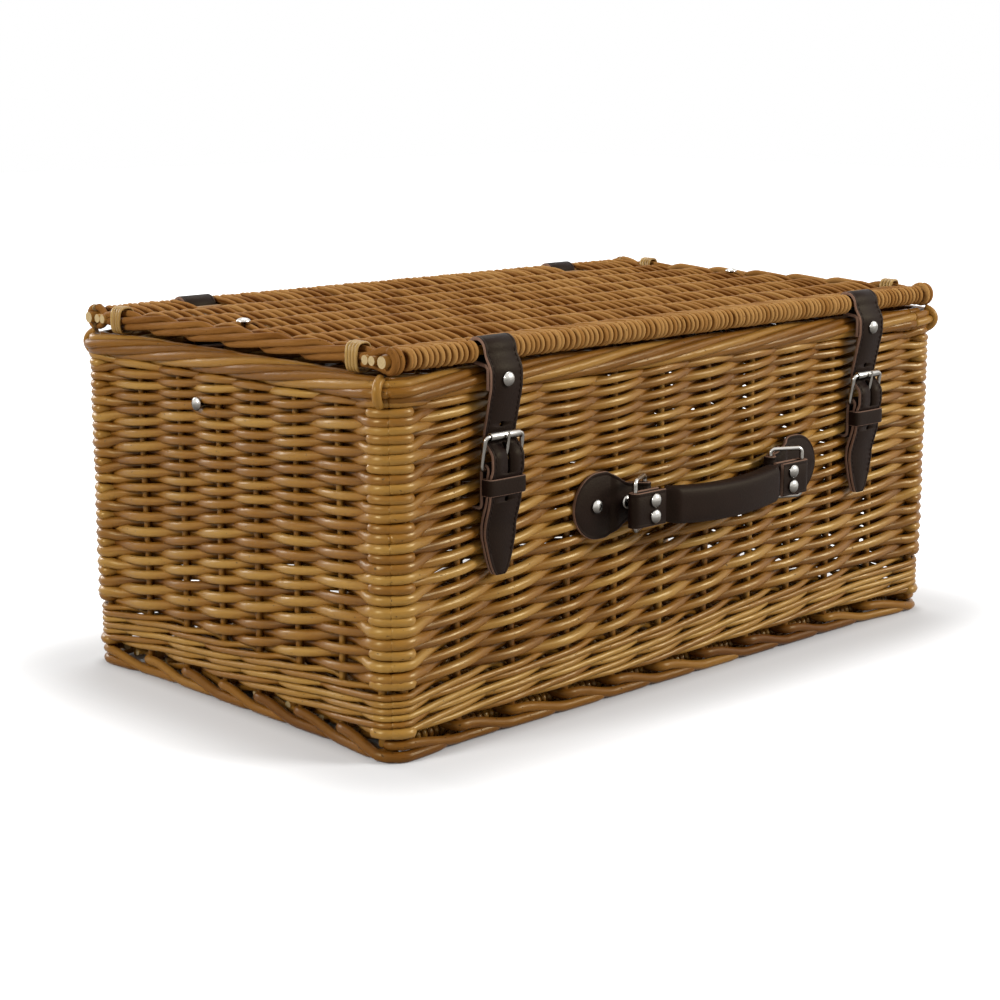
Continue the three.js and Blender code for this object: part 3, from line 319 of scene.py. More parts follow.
def grid_mesh(name, grids, loop=False, shade=0.5, marks=None):
    """One mesh from grids (pieces, along, round, 3) in millimetres. Cells become quads, rings close, and
    ends get one face each in the second finish. UV: metres along the piece, share of the way round."""
    pieces, along, across = grids.shape[:3]
    number = np.arange(pieces * along * across).reshape(pieces, along, across)
    middle = grids.mean(axis=2)
    if loop:
        number = np.concatenate([number, number[:, :1]], axis=1)
        middle = np.concatenate([middle, middle[:, :1]], axis=1)
    ring = np.concatenate([number, number[:, :, :1]], axis=2)
    run = np.linalg.norm(np.diff(middle, axis=1), axis=2)
    u = np.concatenate([np.zeros((pieces, 1)), np.cumsum(run, axis=1)], axis=1) * MM
    u = u + draw.uniform(0, UV_SHIFT, (pieces, 1))
    v = np.arange(across + 1) / across
    lay = points(u[:, :, None], v)
    corners = [(slice(None, -1), slice(None, -1)), (slice(None, -1), slice(1, None)),
               (slice(1, None), slice(1, None)), (slice(1, None), slice(None, -1))]
    loops = np.stack([ring[:, a, b] for a, b in corners], axis=-1).reshape(-1)
    uvs = np.stack([lay[:, a, b] for a, b in corners], axis=3).reshape(-1, 2)
    sizes = np.full(len(loops) // 4, 4)
    is_cap = np.zeros(len(sizes), bool)
    if not loop:
        ends = np.concatenate([number[:, 0, ::-1], number[:, -1]])
        tips = np.concatenate([lay[:, 0, -2::-1], lay[:, -1, :-1]])
        loops = np.concatenate([loops, ends.reshape(-1)])
        uvs = np.concatenate([uvs, tips.reshape(-1, 2)])
        sizes = np.concatenate([sizes, np.full(2 * pieces, across)])
        is_cap = np.concatenate([is_cap, np.ones(2 * pieces, bool)])
    mesh = bpy.data.meshes.new(name)
    mesh.vertices.add(pieces * along * across)
    mesh.vertices.foreach_set("co", (grids * MM).astype(np.float32).reshape(-1))
    mesh.loops.add(len(loops))
    mesh.loops.foreach_set("vertex_index", loops.astype(np.int32))
    mesh.polygons.add(len(sizes))
    mesh.polygons.foreach_set("loop_start", (np.cumsum(sizes) - sizes).astype(np.int32))
    mesh.polygons.foreach_set("material_index", is_cap.astype(np.int32))
    mesh.polygons.foreach_set("use_smooth", ~is_cap)
    mesh.uv_layers.new(name="lay").data.foreach_set("uv", uvs.astype(np.float32).reshape(-1))
    for mark, value in {"shade": shade, **(marks or {})}.items():
        value = np.asarray(value, float)
        value = value.reshape(value.shape + (1,) * (3 - value.ndim))
        spread = np.broadcast_to(value, (pieces, along, across)).astype(np.float32)
        mesh.attributes.new(mark, "FLOAT", "POINT").data.foreach_set("value", spread.reshape(-1))
    mesh.update(calc_edges=True)
    mesh.validate()
    return mesh


def tones(count, low=0.12, high=0.88):
    """A tone for each rod."""
    return draw.uniform(low, high, count)


def rod_mesh(name, paths, radii, span=(), **shape):
    """A family of rods as one mesh, each in a tone from a span."""
    return grid_mesh(name, rod_grid(paths, radii, **shape), shade=tones(len(paths), *span))


# %% Pieces
def add_piece(name, mesh, finishes, nodes=(), body=None):
    """A finished piece: its mesh or meshes, its finishes, its body, and the CAD nodes it stands for."""
    meshes = mesh if isinstance(mesh, list) else [mesh]
    for part in meshes:
        for material in finishes:
            part.materials.append(material)
    objects = [new_object(name, part) for part in meshes]
    obj = objects[0]
    if len(objects) > 1:
        with bpy.context.temp_override(active_object=obj, selected_editable_objects=objects):
            bpy.ops.object.join()
    obj.name = name
    if body != "blend":
        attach(obj, body or home[nodes[0]])
    if nodes:
        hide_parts(*nodes)
    triangles = sum(len(p.vertices) - 2 for p in obj.data.polygons)
    print(f"{name}: {triangles} triangles")
    return obj


woven = [willow, cut_willow]
lid_woven = [lid_willow, cut_willow]
bordered = [thick_willow, cut_willow]

# %% [markdown]
# The walls stand on one line seen from above: an oblong whose corners are two tight bends each, one
# round each of the corner's two posts. A place on it is the distance run along it, and the weaver counts
# stakes rather than millimetres. So the next two cells make three maps: distance to place, distance to
# stake number, and back. A corner counts as one stake.

# %% The line of the walls
WALL = 13
STAKES = (6, 10, 6, 10)
SHOULDERS = (39.8, 45.8, 39.8, 45.8)
STAKE_WANDER = 2.0
CORNER_HOLD = 8
CORNER_SHARE = 0.24
CORNER_ZONE = 16
CLOSENESS = 1.6
CORNER_CUT = 3.5
BEND_RADIUS, BEND_STEPS = 3.5, 12
FLARE_FOOT, FLARE_RIM, FLARE_REACH = 5.0, 5.5, 62
VALLEY, VALLEY_REACH = 0.8, 2.4
KNOT_LAPS = range(-1, 4)

face_x = box_mm("right_wall")[1][0]
face_y = box_mm("back_wall")[1][1]
wall_low, wall_high = (corner[2] for corner in box_mm("front_wall")[:2])
half_x = face_x - WALL / 2
half_y = face_y - WALL / 2

bend = np.linspace(0, 45, BEND_STEPS + 1)
turns = np.radians(np.array([90, 180, 270, 360])[:, None] + np.concatenate([bend, 45 + bend]))
signs = np.array([(-1, 1), (-1, -1), (1, -1), (1, 1)])
outward = points(np.cos(turns), np.sin(turns))
reach = CORNER_CUT + BEND_RADIUS * np.tan(np.pi / 8)
enter = signs * (half_x, half_y) - reach * points(-outward[:, 0, 1], outward[:, 0, 0])
leave = signs * (half_x, half_y) - reach * outward[:, 0]
pivots = np.stack([enter - BEND_RADIUS * outward[:, 0], leave - BEND_RADIUS * outward[:, -1]], axis=1)
bends = np.repeat(pivots, BEND_STEPS + 1, axis=1) + BEND_RADIUS * outward
line = np.concatenate([bends.reshape(-1, 2), bends[0, :1]])
facing = np.concatenate([outward.reshape(-1, 2), outward[0, :1]])
line_run = run_along(line)
girth = line_run[-1]
corner_points = 2 * (BEND_STEPS + 1)
first_bend_ends = BEND_STEPS + corner_points * np.arange(4)
corner_runs = (line_run[first_bend_ends] + line_run[first_bend_ends + 1]) / 2


def corner_gap(run):
    """The distance from the nearest corner."""
    apart = np.mod(run[..., None] - corner_runs + girth / 2, girth) - girth / 2
    return np.abs(apart).min(axis=-1)


def place(run, out, z):
    """The point at a distance along the wall line, a distance out of the wall's middle, and a height. Near
    a corner the wall stands out a little more, and between the corner's two posts it dips."""
    run = np.mod(run, girth)
    gap = corner_gap(run)
    flare = FLARE_FOOT + (FLARE_RIM - FLARE_FOOT) * z / wall_high
    out = out + flare * (1 - smooth(0, FLARE_REACH, gap)) - VALLEY * (1 - smooth(0, VALLEY_REACH, gap))
    x, y = (np.interp(run, line_run, line[:, i]) for i in range(2))
    out_x, out_y = (np.interp(run, line_run, facing[:, i]) for i in range(2))
    return points(x + out * out_x, y + out * out_y, z)


# %% The count of stakes
stake_runs = []
knot_runs = []
knot_numbers = []
number = 0
for wall, count in enumerate(STAKES):
    start = line_run[corner_points * (wall + 1) - 1]
    end = line_run[corner_points * (wall + 1)]
    runs = np.linspace(start + SHOULDERS[wall], end - SHOULDERS[wall], count)
    runs = runs + draw.uniform(-STAKE_WANDER, STAKE_WANDER, count)
    stake_runs.extend(runs)
    corner = corner_runs[wall]
    knot_runs.extend([corner - CORNER_HOLD, corner + CORNER_HOLD, *runs])
    knot_numbers.extend([number - CORNER_SHARE, number + CORNER_SHARE, *(number + 1 + np.arange(count))])
    number += count + 1
STAKE_COUNT = number
knot_runs = np.concatenate([np.array(knot_runs) + lap * girth for lap in KNOT_LAPS])
knot_numbers = np.concatenate([np.array(knot_numbers) + lap * STAKE_COUNT for lap in KNOT_LAPS])


def stake_at(run):
    """The stake number at a distance along the wall."""
    return np.interp(run, knot_runs, knot_numbers)


def run_at(stake):
    """The distance along the wall of a stake number."""
    return np.interp(stake, knot_numbers, knot_runs)


def crowded(steps, reach):
    """Distances from -reach to reach, closer and closer towards the middle."""
    share = np.linspace(-1, 1, steps + 1)
    return reach * np.sign(share) * np.abs(share) ** CLOSENESS


def lap_samples(corner_steps, wall_step):
    """Distances to sample a lap at, crowded at the corners and even along the walls, three laps long."""
    lap = []
    for corner, following in zip(corner_runs, [*corner_runs[1:], corner_runs[0] + girth]):
        near, far = corner + CORNER_ZONE, following - CORNER_ZONE
        lap.append(corner + crowded(corner_steps, CORNER_ZONE)[:-1])
        lap.append(np.linspace(near, far, round((far - near) / wall_step) + 1)[:-1])
    lap = np.concatenate(lap)
    return len(lap), np.concatenate([lap, lap + girth, lap + 2 * girth])


print(f"wall line {girth:.0f} mm round, {STAKE_COUNT} stakes counting each corner once")

# %% [markdown]
# The walls are French randed: one rod starts behind every stake, then weaves in front of one and behind
# the next, climbing as it goes, until it has gone once round the basket. That is why the strokes on the
# walls all rise to the right. Out of the wall the rod swings as a cosine of the stake number, and it
# tapers from butt to tip.

# %% Wall weave
BUTT, TIP = 3.35, 2.8
THICKNESS_SPREAD = (0.9, 1.08)
SWING = 4.3
PASSES = 37
START_GAP, TUCK = 1, 0.75
CROWDING = 0.2
CORNER_STEPS, WALL_STEP = 20, 6.2
CORNER_BAND, CORNER_SWELL, CORNER_SHIFT = (7, 18), 0.15, 1.4
LANE = 0.35
SWAYS = ((1.0, 49, 27, 0.0), (0.6, 20.3, -15, 0.4))
WEAVE_TONES, PAINTED_INSIDE_SHADE = (0.42, 1.0), 0.26


def climb(stakes_passed):
    """Height of a weaver after passing some stakes: share + c share (1 - share) of the wall, since the rods
    are thick at the bottom and thin at the top."""
    share = (np.clip(stakes_passed, 0, PASSES) + 0.5) / (PASSES + 1)
    return wall_low + (wall_high - wall_low) * (share + CROWDING * share * (1 - share))


def sway(run, z):
    """A slow wave of the whole weave, so that no row is quite level: a sum of two sines."""
    return sum(rise * np.sin(run / wide + z / tall + start) for rise, wide, tall, start in SWAYS)


lap_count, lap_runs = lap_samples(CORNER_STEPS, WALL_STEP)
one_lap = lap_runs[:lap_count + 1]
starts = np.arange(STAKE_COUNT)
first = np.searchsorted(lap_runs, run_at(starts) + START_GAP)[:, None]
last = np.searchsorted(lap_runs, run_at(starts + PASSES + TUCK))[:, None]
sample = first + (last - first) * np.linspace(0, 1, round(lap_count * (PASSES + TUCK) / STAKE_COUNT))
runs = np.interp(sample, np.arange(len(lap_runs)), lap_runs)
passed = stake_at(runs) - starts[:, None]
swing = -np.cos(np.pi * passed)
near_corner = 1 - smooth(*CORNER_BAND, corner_gap(runs))
odd = np.mod(np.round(passed), 4)
shift = CORNER_SHIFT * near_corner * ((odd == 1).astype(float) - (odd == 3))
z = climb(passed)
lane = draw.uniform(-LANE, LANE, (STAKE_COUNT, 1))
weavers = place(runs, SWING * swing, z + shift + lane + sway(runs, z))
thickness = (BUTT + (TIP - BUTT) * passed / PASSES) * draw.uniform(*THICKNESS_SPREAD, (STAKE_COUNT, 1))
thickness = thickness * (1 + CORNER_SWELL * near_corner)
# painted shade: each weaver's tone is darkened where it swings inside, behind the stakes
weave_tones = tones(STAKE_COUNT, *WEAVE_TONES)[:, None] + PAINTED_INSIDE_SHADE * (swing - 1)
weave_mesh = grid_mesh("wall_weave", rod_grid(weavers, thickness), shade=weave_tones)
add_piece("wall_weave", weave_mesh, woven, ["front_wall", "back_wall", "left_wall", "right_wall"])

# %% [markdown]
# The stakes are the uprights that the weavers bend round. They are plain rods, but they lean a little
# this way and that, which a slow sine along their height gives.

# %% Stakes
STAKE_RADIUS = 2.45
STAKE_FOOT, STAKE_HEAD, STAKE_STEPS = 9, 214, 24
LEAN, LEAN_HEIGHT, LEAN_PHASES = 0.7, 30, 6
STAKE_TONES = (0.2, 0.7)
UPRIGHT_SIDE = (0.6, 0.8, 0)

heights = np.linspace(STAKE_FOOT, STAKE_HEAD, STAKE_STEPS)
stake_lines = np.array(stake_runs)[:, None]
phase = draw.uniform(0, LEAN_PHASES, stake_lines.shape)
uprights = place(stake_lines + LEAN * np.sin(heights / LEAN_HEIGHT + phase), 0, heights)
stake_mesh = rod_mesh("wall_stakes", uprights, STAKE_RADIUS, STAKE_TONES, up=UPRIGHT_SIDE)
add_piece("wall_stakes", stake_mesh, woven, body="basket")

# %% [markdown]
# Each corner has two posts side by side. Every other weaver passes inside them, which would leave gaps
# outside, so short packing rods are laid round the posts with both ends turned in. They are the flat
# bands of the corner.

# %% Corner posts and their packing rods
POST_SPREAD, POST_RADIUS = 3.1, 2.8
LOW_BANDS, BAND_EVERY = [17.2, 46.8], 4
BAND_REACH, BAND_STEPS = 10, 24
BAND_PROUD, BAND_DIVE, BAND_TURN = 0.2, 9.5, (4.2, 9.2)
BAND_WANDER, BAND_TIP = 0.4, TIP + 0.2
BAND_TONES = (0.36, 0.9)

posts = (corner_runs[:, None] + POST_SPREAD * np.array([-1, 1])).reshape(-1, 1)
post_lines = place(posts, 0, heights)
post_mesh = rod_mesh("corner_posts", post_lines, POST_RADIUS, up=UPRIGHT_SIDE)
band_levels = np.concatenate([LOW_BANDS, climb(np.arange(BAND_EVERY, PASSES, BAND_EVERY))])
band_runs = crowded(BAND_STEPS, BAND_REACH)
band_out = SWING + BAND_PROUD - BAND_DIVE * smooth(*BAND_TURN, np.abs(band_runs))
corner_grid, level_grid = np.meshgrid(corner_runs, band_levels, indexing="ij")
band_at = corner_grid.reshape(-1, 1) + band_runs
band_z = level_grid.reshape(-1, 1) + draw.uniform(-BAND_WANDER, BAND_WANDER, (corner_grid.size, 1))
band_taper = np.tile(np.linspace(BUTT, BAND_TIP, len(band_levels)), len(corner_runs))[:, None]
bands = place(band_at, band_out, band_z + sway(band_at, band_z))
band_mesh = rod_mesh("corner_bands", bands, band_taper, BAND_TONES)
add_piece("corner_posts", [post_mesh, band_mesh], woven,
          [f"corner_post_{end}_{side}" for end in ("front", "back") for side in ("left", "right")])

# %% [markdown]
# The band above the foot is waled: three rods at a time, each in front of two stakes and behind one. A
# rod comes out from under the one before it, climbs over the next, and dives behind, so height and swing
# both repeat every three stakes.

# %% Upsett wale
WALE_RADIUS = 2.05
WALE_RISE, WALE_SWAY = 4.1, 0.7
WALE_RODS, WALE_ROUNDS = 3, 3
WALE_FOOT = 20.4
WALE_TONES = (0.35, 1.0)
OUT_FROM, OUT_FOR = 0.4, 2.2


def wale_stroke(passed):
    """Swing and rise of a waling rod after some of its three stakes: swing goes from inside to outside as a
    cosine, stays out, and returns; rise climbs evenly while the rod is out and drops as it dives."""
    inside = np.where(passed < 1, -np.cos(np.pi * passed), np.cos(np.pi * (passed - 2)))
    swing = np.where((passed >= 1) & (passed < 2), 1, inside)
    stroke = np.mod(passed - OUT_FROM, WALE_RODS)
    dive = smooth(OUT_FOR, WALE_RODS, stroke)
    return swing, np.where(stroke < OUT_FOR, stroke - OUT_FOR / 2, OUT_FOR / 2 - OUT_FOR * dive)


trio = np.tile(np.arange(WALE_RODS), WALE_ROUNDS)[:, None]
rounds = np.repeat(np.arange(WALE_ROUNDS), WALE_RODS)[:, None]
swing, rise = wale_stroke(np.mod(stake_at(one_lap) - trio - rounds, WALE_RODS))
z = WALE_FOOT + 2 * WALE_RISE * rounds + WALE_RISE * rise
wale_lines = place(one_lap, SWING * swing, z + WALE_SWAY * sway(one_lap, z))
wale_mesh = rod_mesh("upsett_wale_rods", wale_lines, WALE_RADIUS, WALE_TONES)
add_piece("upsett_wale_rods", wale_mesh, woven, ["upsett_wale"])

# %% [markdown]
# The foot border closes the bottom. At each stake a thick rod comes out from inside with a sharp bend,
# runs to the right over the one before it, sinks below the next and tucks in underneath. The same short
# path, moved from stake to stake, makes the whole border.

# %% Foot border
FOOT_RADIUS = 3.25
FOOT_TOP, FOOT_BOTTOM = 10.4, FOOT_RADIUS + 0.1
FOOT_START, FOOT_REACH, FOOT_STEPS = 0.07, 2.08, 40
FOOT_BEND_RUNS, FOOT_BEND_OUT = np.array([-6.6, -6.3, -5.4, -3.4]), np.array([-10, -5, -0.6, 2.2])
FOOT_OUT, FOOT_SINK = 3.1, (0.1, 1.0)
FOOT_TUCK, TUCK_AT = 9, (1.62, 2.1)
FOOT_THIN, THIN_AT = 0.2, (1.4, 2.1)
FOOT_SPREAD, FOOT_TONES = (0.92, 1.04), (0.1, 0.75)

share = np.linspace(FOOT_START, FOOT_REACH, FOOT_STEPS)
main_runs = run_at(starts[:, None] + share)
main_out = FOOT_OUT - FOOT_TUCK * smooth(*TUCK_AT, share)
main_z = FOOT_TOP + (FOOT_BOTTOM - FOOT_TOP) * smooth(*FOOT_SINK, share)
runs = np.concatenate([main_runs[:, :1] + FOOT_BEND_RUNS, main_runs], axis=1)
out = np.concatenate([FOOT_BEND_OUT, main_out])
z = np.concatenate([np.full(len(FOOT_BEND_OUT), FOOT_TOP), main_z])
foot_radii = FOOT_RADIUS * (1 - FOOT_THIN * smooth(*THIN_AT, np.concatenate([0 * FOOT_BEND_OUT, share])))
foot_radii = foot_radii * draw.uniform(*FOOT_SPREAD, (STAKE_COUNT, 1))
foot_mesh = rod_mesh("foot_rods", place(runs, out, z), foot_radii, FOOT_TONES, sides=10)
add_piece("foot_rods", foot_mesh, bordered, ["foot_border"])

# %% [markdown]
# The top border is made of the stakes themselves, bent over and laid to the right. Seen from outside,
# thick rods rise from under one another and go over the rim. A seven-strand rope about an oval core has
# just that lay: each strand moves on by a seventh of a turn at every stake. One short rod hooks over the
# rope at each corner.

# %% Top border
STRANDS = 7
BORDER_DEPTH, BORDER_RISE = 7.6, 5.0
STRAND_RADIUS, STRAND_TONES = 2.95, (0.2, 0.9)
PULSE, PULSE_LENGTH = 0.25, 23
HOOK_ARC, HOOK_STEPS, HOOK_BACK = (70, -65), 18, 2.0
HOOK_OUT, HOOK_RISE = BORDER_DEPTH + 3.2, BORDER_RISE + 3.0
HOOK_RADIUS, HOOK_TONES = 2.8, (0.3, 0.8)

border_middle = box_mm("top_border")[2][2]
runs = one_lap + girth / 2
strand = np.arange(STRANDS)[:, None]
angle = 2 * np.pi / STRANDS * (stake_at(runs) - strand)
swell = BORDER_RISE + PULSE * np.sin(runs / PULSE_LENGTH + 2 * strand)
strands = place(runs, BORDER_DEPTH * np.cos(angle), border_middle + swell * np.sin(angle))
strand_mesh = rod_mesh("top_border_rods", strands, STRAND_RADIUS, STRAND_TONES, sides=10)
angle = np.radians(np.linspace(*HOOK_ARC, HOOK_STEPS))
hook_z = border_middle + HOOK_RISE * np.sin(angle)
hooks = place(corner_runs[:, None] - HOOK_BACK, HOOK_OUT * np.cos(angle), hook_z)
corner_turn = np.pi / 4 + np.pi / 2 * np.arange(1, 5)
hook_up = points(-np.sin(corner_turn), np.cos(corner_turn), 0)[:, None]
hook_mesh = rod_mesh("corner_hooks", hooks, HOOK_RADIUS, HOOK_TONES, sides=10, up=hook_up)
add_piece("top_border_rods", [strand_mesh, hook_mesh], bordered, ["top_border"])

# %% [markdown]
# The lid and the base are woven flat: thick sticks lie along the basket, and thinner rods go over and
# under them from front to back. Between two sticks a rod passes from one level to the next as a cosine.
# On the lid each rod also wraps round the front and back rail, which is what gives those edges their
# ribs.

# %% Woven panels
STICK_STEPS = 12
ALONG_LENGTH = (1, 0, 0)


def level_between(y, knots, levels):
    """Heights along weavers: from level to level between knots, eased as half a cosine wave."""
    index = np.clip(np.searchsorted(knots, y, side="right") - 1, 0, len(knots) - 2)
    t = (y - knots[index]) / (knots[index + 1] - knots[index])
    ease = (1 - np.cos(np.pi * np.clip(t, 0, 1))) / 2
    return levels[:, index] + (levels[:, index + 1] - levels[:, index]) * ease


def over_and_under(count, sticks, amplitude, edge):
    """Levels at the knots: edge, up and down by turns over the sticks, edge; neighbours go opposite ways."""
    sign = np.where(np.add.outer(np.arange(count), np.arange(sticks)) % 2, 1.0, -1.0)
    return np.concatenate([np.full((count, 1), edge), amplitude * sign, np.full((count, 1), edge)], axis=1)


def panel_paths(xs, y, z, front_arc=None, back_arc=None):
    """Weaver paths at places xs: an optional arc in front, the field, and an optional arc behind."""
    parts = [part for part in (front_arc, (y, z), back_arc) if part is not None]
    rows = [np.broadcast_arrays(xs[:, None], *part) for part in parts]
    return points(*(np.concatenate([row[i] for row in rows], axis=1) for i in range(3)))


def stick_mesh(name, ys, z, half_length, radius):
    """Straight sticks along the basket's length."""
    xs = np.linspace(-half_length, half_length, STICK_STEPS)
    return rod_mesh(name, points(xs, ys[:, None], z), radius, sides=10)


# %% Lid weave
LID_STICKS, FIRST_STICK = 8, 12
LID_PITCH, LID_WANDER = 4.2, 0.7
LID_ROD, LID_SPREAD, LID_TONES = 1.92, (0.90, 1.20), (0.42, 1.0)
RAIL_CORE = 2.9
LID_SWING = 4.05
LOW_SHADE, RAIL_PAINTED_LIGHT, CREVICE_SHADE, CREVICE_FROM = 0.25, 0.2, 0.62, 0.6
STRAP_X = 175
NOTCH, NOTCH_FRONT, NOTCH_BACK = 14.5, -133, 126.5
NOTCH_DIP, NOTCH_EASE = 5, 7
WRAP_END, WRAP_STEPS = 235, 13
FIELD_STEPS, SHORT_STEPS = 57, 52
SAG, SAG_Y, SAG_X = 0.5, 47, 61
WAVE, WAVE_LENGTH, WAVE_PHASE = 0.6, 19, 3

lid_half = box_mm("lid_back_rail")[1][0]
rail_y, rail_z = box_mm("lid_back_rail")[2][1:]
field_half = box_mm("lid_weave")[1][0]
rod_count = round(2 * field_half / LID_PITCH)
xs = -field_half + 2 * field_half * (np.arange(rod_count) + 0.5) / rod_count
xs = xs + draw.uniform(-LID_WANDER, LID_WANDER, len(xs))
sizes = (LID_ROD * draw.uniform(*LID_SPREAD, len(xs)))[:, None]
wrap = RAIL_CORE + LID_ROD
stick_ys = np.linspace(FIRST_STICK - rail_y, rail_y - FIRST_STICK, LID_STICKS)
stick_ys = np.concatenate([[-rail_y], stick_ys, [rail_y]])
levels = over_and_under(len(xs), LID_STICKS, LID_SWING, wrap)
notched = np.abs(np.abs(xs) - STRAP_X) < NOTCH
around = np.radians(np.linspace(WRAP_END, 0, WRAP_STEPS)[:-1])
front_arc = (-rail_y - wrap * np.sin(around), rail_z + wrap * np.cos(around))
back_arc = (rail_y + wrap * np.sin(around[::-1]), rail_z + wrap * np.cos(around[::-1]))


def low_shade(paths):
    """Painted shade where a rod dips between its neighbours: none on top, most below; and painted light on
    the rails, which are made paler.
    """
    field = 1 - smooth(rail_y - FIRST_STICK, rail_y - LID_ROD, np.abs(paths[..., 1]))
    dip = 1 - np.clip((paths[..., 2] - rail_z) / LID_SWING, -1, 1)
    return RAIL_PAINTED_LIGHT * (1 - field) - LOW_SHADE * field * dip


def lid_rods(paths, chosen):
    """The grid of some of the lid's rods, and its tones, with painted shade between the rods: none on a rod's
    top, most on its sides, where the next rod lies."""
    tone = tones(len(paths), *LID_TONES)[:, None] + low_shade(paths)
    grid = rod_grid(paths, sizes[chosen], up=ALONG_LENGTH)
    spoke = unit(grid - grid.mean(axis=2, keepdims=True))
    return grid, tone[..., None] - CREVICE_SHADE * smooth(CREVICE_FROM, 1, np.abs(spoke[..., 0]))


y = np.linspace(-rail_y, rail_y, FIELD_STEPS)
long_x = xs[~notched]
sag = SAG * np.sin(y / SAG_Y) * np.sin(long_x / SAG_X)[:, None]
z = rail_z + level_between(y, stick_ys, levels[~notched]) + sag
whole = panel_paths(long_x, y, z, front_arc, back_arc)
whole[..., 0] += WAVE * np.sin(whole[..., 1] / WAVE_LENGTH + WAVE_PHASE * long_x[:, None])
y = np.linspace(NOTCH_FRONT, NOTCH_BACK, SHORT_STEPS)
dip = NOTCH_DIP * (1 - smooth(0, NOTCH_EASE, np.minimum(y - NOTCH_FRONT, NOTCH_BACK - y)))
short = panel_paths(xs[notched], y, rail_z + level_between(y, stick_ys, levels[notched]) - dip)
lid_grids = [lid_rods(whole, ~notched), lid_rods(short, notched)]
lid_meshes = [grid_mesh("lid_rods", grid, shade=tone) for grid, tone in lid_grids]
add_piece("lid_weavers", lid_meshes, lid_woven, ["lid_weave"])

# %% [markdown]
# The lid's sticks and rail cores are straight rods inside the weave. Their sawn ends show at the corners
# of the lid, where the thick rail sits beside two thin sticks.

# %% Lid sticks and rails
RAIL_END, RAIL_PAST, RAIL_SWELL = 3.6, 0.8, (-1, 3)
RAIL_TONES = (0.3, 0.7)
LID_STICK, LID_STICK_PAST = 2.15, 4
STUB_GAPS, STUB_RADIUS = (9.2, 15.0), 2.8
STUB_LENGTH, STUB_PAST, STUB_STEPS = 13, 0.4, 5

rail_right = np.array([field_half + RAIL_SWELL[0], field_half + RAIL_SWELL[1], lid_half + RAIL_PAST])
rail_x = np.concatenate([-rail_right[::-1], [0], rail_right])
rail_r = np.where(np.abs(rail_x) > field_half, RAIL_END, RAIL_CORE)
rail_lines = points(rail_x, np.array([[-rail_y], [rail_y]]), rail_z)
rail_mesh = rod_mesh("rails", rail_lines, rail_r, RAIL_TONES, sides=14)
add_piece("lid_rail_cores", rail_mesh, bordered, ["lid_front_rail", "lid_back_rail"])
lid_sticks = stick_mesh("sticks", stick_ys[1:-1], rail_z, field_half + LID_STICK_PAST, LID_STICK)
stub_x = np.array([-1, 1])[:, None] * np.linspace(lid_half - STUB_LENGTH, lid_half + STUB_PAST, STUB_STEPS)
stub_y = np.array([side * (rail_y - gap) for side in (-1, 1) for gap in STUB_GAPS])
stub_lines = points(stub_x[:, None], stub_y[:, None], rail_z).reshape(-1, STUB_STEPS, 3)
stub_mesh = rod_mesh("stubs", stub_lines, STUB_RADIUS, sides=12)
add_piece("lid_sticks", [lid_sticks, stub_mesh], woven, body="lid")

# %% [markdown]
# Each end of the lid is waled like the band above the foot: three rods at a time go outside two sticks
# and inside one, and they rise to the right. At the corners a rod turns down round the rail, and thin
# cane is wound round them all.

# %% Lid ends and cane bindings
END_DEPTH, END_RISE, END_STEPS = 2.9, 4.1, 120
END_RADIUS, END_TONES = 2.35, (0.3, 0.9)
END_TURN, TURN_STEPS, TURN_APART = 5.9, 14, 1.9
END_LEVELS = np.array([END_TURN, -END_TURN, 0.0])[:, None]
CALM_FROM, CALM_TO = 18, 2
BINDING_TURNS, BINDING_PITCH, BINDING_SLANT = 4, 2.7, 1.6
BINDING_INWARD, BINDING_STEPS = 4.5, 32
BINDING_HALF_X, BINDING_HALF_Z, BINDING_POWER = 6.6, 8.2, 0.7
CANE_RADIUS, CANE_FLAT, CANE_TONES = 0.85, 1.6, (0.4, 1.0)

y = np.linspace(-rail_y, rail_y, END_STEPS)
calm = smooth(rail_y - CALM_FROM, rail_y - CALM_TO, np.abs(y))
half_turn = np.radians(np.linspace(0, 180, TURN_STEPS))
around = full_turn(BINDING_STEPS)
coil = BINDING_PITCH * (np.arange(BINDING_TURNS) - (BINDING_TURNS - 1) / 2)[:, None]
for name, side in SIDES:
    end_x = box_mm(f"lid_end_wale_{name}")[2][0]
    count = np.interp(side * y, stick_ys, np.arange(len(stick_ys)))
    swing, rise = wale_stroke(np.mod(count - np.arange(WALE_RODS)[:, None], WALE_RODS))
    lift = END_RISE * rise
    lift = lift + (END_LEVELS - lift) * calm
    end_lines = [points(end_x + side * END_DEPTH * swing * (1 - calm), y, rail_z + lift)]
    pair_x = np.array([[end_x - TURN_APART], [end_x + TURN_APART]])
    for sign in (-1, 1):
        turn_y = sign * (rail_y + END_TURN * np.sin(half_turn))
        end_lines.append(points(pair_x, turn_y, rail_z + END_TURN * np.cos(half_turn)))
    meshes = [rod_mesh("end_rods", rods, END_RADIUS, END_TONES, sides=10, up=ALONG_LENGTH)
              for rods in end_lines]
    add_piece(f"lid_end_rods_{name}", meshes, lid_woven, [f"lid_end_wale_{name}"])
    for end in ("front", "back"):
        node = f"lid_corner_binding_{end}_{name}"
        middle_y = box_mm(node)[2][1]
        middle_y = middle_y - BINDING_INWARD * np.sign(middle_y)
        wide, tall = soft_oblong(around, BINDING_HALF_X, BINDING_HALF_Z, BINDING_POWER)
        loops = points(end_x + wide, middle_y + coil + BINDING_SLANT * np.cos(around), rail_z + tall)
        strip = rod_grid(loops, CANE_RADIUS, up=(0, 1, 0), flat=CANE_FLAT, loop=True)
        binding = grid_mesh(node, strip, loop=True, shade=tones(BINDING_TURNS, *CANE_TONES))
        add_piece(f"cane_{end}_{name}", binding, [cane], [node])

# %% [markdown]
# The base is woven like the lid, and shows only as dark ribs behind the foot border and from underneath.

